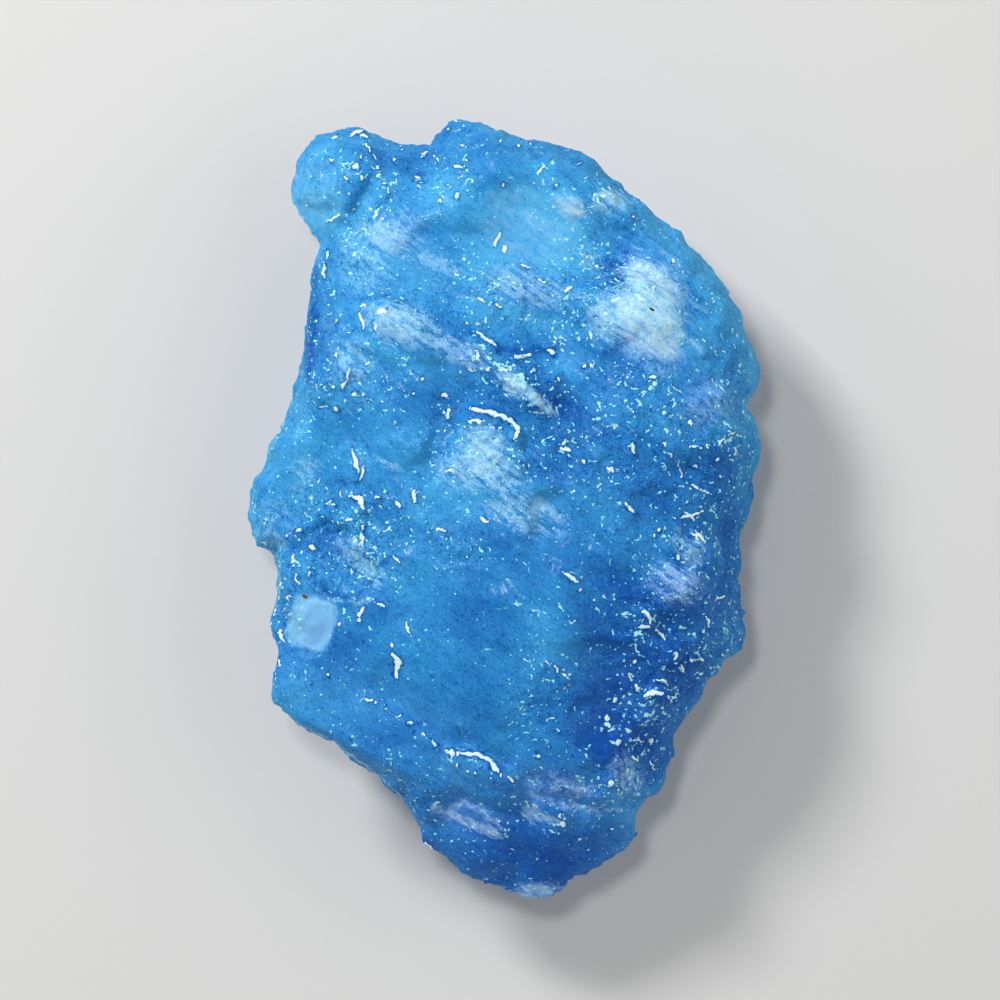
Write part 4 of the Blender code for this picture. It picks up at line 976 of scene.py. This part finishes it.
class CRYSTAL_OT_finish(bpy.types.Operator):
    """Give the crystal its cloudy blue inside and its wet surface"""

    bl_idname = "crystal.finish"
    bl_label = "Finish the crystal"

    def execute(self, context):
        nodes = Nodes("aquamarine")
        patterns = crystal_patterns(nodes)
        values = {
            "Base Color": crystal_colour(nodes, patterns, context.scene.crystal_colours),
            "Roughness": nodes.math("MULTIPLY_ADD", nodes.attribute("rim"), 0.3, 0.45),
            "Normal": crystal_bump(nodes, patterns),
            "IOR": 1.57,
            "Specular IOR Level": 0.02,
            "Transmission Weight": 0.15,
            "Subsurface Weight": 0.3,
            "Subsurface Radius": (0.8, 0.9, 1.0),
            "Subsurface Scale": 0.6 * MM,
            "Coat Weight": crystal_gloss(nodes, patterns),
            "Coat Roughness": 0.08,
            "Coat IOR": 1.5,
        }
        for name, value in values.items():
            nodes.give(nodes.shader.inputs[name], value)
        inside = nodes.add("VolumeAbsorption", ABSORPTION)
        nodes.tree.links.new(inside.outputs[0], nodes.output.inputs["Volume"])
        bpy.data.objects[PIECE].data.materials.append(nodes.material)
        return {"FINISHED"}


# The stage.

VIEW_WIDTH = 100 * MM
VIEW_CENTRE = (-0.45 * MM, 0.95 * MM)
RIM_HEIGHT = 8 * MM
MIDDLE = (0.0, 0.0, 12 * MM)  # the middle of the crystal, which the lights face
FLOOR_SIZE = 6.0
RING_LIGHT = (0.45, 0.64)  # where the light round the horizon ends, and its grey
DIM_LIGHT = (0.85, 0.09)  # where the dim light overhead starts, and its grey


def area_light(name, place, power, width):
    """A square light that faces the crystal."""
    data = bpy.data.lights.new(name, "AREA")
    data.energy, data.size = power, width
    light = bpy.data.objects.new(name, data)
    light.location = place
    towards = Vector(MIDDLE) - Vector(place)
    light.rotation_euler = towards.to_track_quat("-Z", "Y").to_euler()
    bpy.context.collection.objects.link(light)


class CRYSTAL_OT_stage(bpy.types.Operator):
    """Set up the floor, the lights and the camera that looks down on the show face"""

    bl_idname = "crystal.stage"
    bl_label = "Set the stage"

    def execute(self, context):
        settings = context.scene.crystal_stage
        self.floor(settings)
        area_light("overhead", (-0.10, 0.14, 0.80), 0.5 * settings.key, 0.09)
        area_light("key", (-0.32, 0.36, 0.44), settings.key, 0.14)
        area_light("fill", (0.5, -0.05, 0.45), settings.fill, 0.6)
        self.world()
        self.camera(settings)
        context.scene.view_settings.view_transform = "Standard"
        return {"FINISHED"}

    def floor(self, settings):
        deselect_all()
        bpy.ops.mesh.primitive_plane_add(size=FLOOR_SIZE, location=(0.0, 0.0, 0.0))
        floor = bpy.context.object
        floor.name = "floor"
        nodes = Nodes("floor")
        nodes.give(nodes.shader.inputs["Base Color"], settings.floor)
        nodes.give(nodes.shader.inputs["Roughness"], 0.6)
        floor.data.materials.append(nodes.material)

    def world(self):
        """Soft light round the horizon, dim overhead so that the show face keeps its own colour."""
        world = bpy.data.worlds.new("studio")
        world.use_nodes = True
        tree = world.node_tree
        direction = tree.nodes.new("ShaderNodeTexCoord").outputs["Generated"]
        rise = tree.nodes.new("ShaderNodeSeparateXYZ")
        ramp = tree.nodes.new("ShaderNodeValToRGB")
        tree.links.new(direction, rise.inputs[0])
        tree.links.new(rise.outputs["Z"], ramp.inputs["Fac"])
        tree.links.new(ramp.outputs["Color"], tree.nodes["Background"].inputs["Color"])
        for element, (position, grey) in zip(ramp.color_ramp.elements, (RING_LIGHT, DIM_LIGHT)):
            element.color = (grey, grey, grey, 1.0)
            element.position = position
        bpy.context.scene.world = world

    def camera(self, settings):
        """Straight above, so that 100 mm at the height of the rim fill the view."""
        data = bpy.data.cameras.new("camera")
        data.lens = settings.lens
        camera = bpy.data.objects.new("camera", data)
        distance = settings.lens / data.sensor_width * VIEW_WIDTH
        camera.location = (VIEW_CENTRE[0], VIEW_CENTRE[1], RIM_HEIGHT + distance)
        bpy.context.collection.objects.link(camera)
        bpy.context.scene.camera = camera


class CRYSTAL_PT_panel(bpy.types.Panel):
    """Lists the settings and the steps that make the crystal"""

    bl_label = "Aquamarine crystal"
    bl_idname = "CRYSTAL_PT_panel"
    bl_space_type = "VIEW_3D"
    bl_region_type = "UI"
    bl_category = "Crystal"

    def draw(self, context):
        for group, kind in SETTINGS.items():
            box = self.layout.box()
            for name in kind.__annotations__:
                box.prop(getattr(context.scene, group), name)
        for operator in OPERATORS:
            self.layout.operator(operator.bl_idname)


OPERATORS = (CRYSTAL_OT_shape, CRYSTAL_OT_finish, CRYSTAL_OT_stage)
SETTINGS = {
    "crystal": CrystalSettings,
    "crystal_colours": ColourSettings,
    "crystal_stage": StageSettings,
}
CLASSES = tuple(SETTINGS.values()) + OPERATORS + (CRYSTAL_PT_panel,)


def register():
    for item in CLASSES:
        bpy.utils.register_class(item)
    for name, group in SETTINGS.items():
        setattr(bpy.types.Scene, name, bpy.props.PointerProperty(type=group))


def unregister():
    for name in SETTINGS:
        delattr(bpy.types.Scene, name)
    for item in reversed(CLASSES):
        bpy.utils.unregister_class(item)


def main():
    register()
    bpy.ops.crystal.shape()
    bpy.ops.crystal.finish()
    bpy.ops.crystal.stage()


if __name__ == "__main__":
    main()
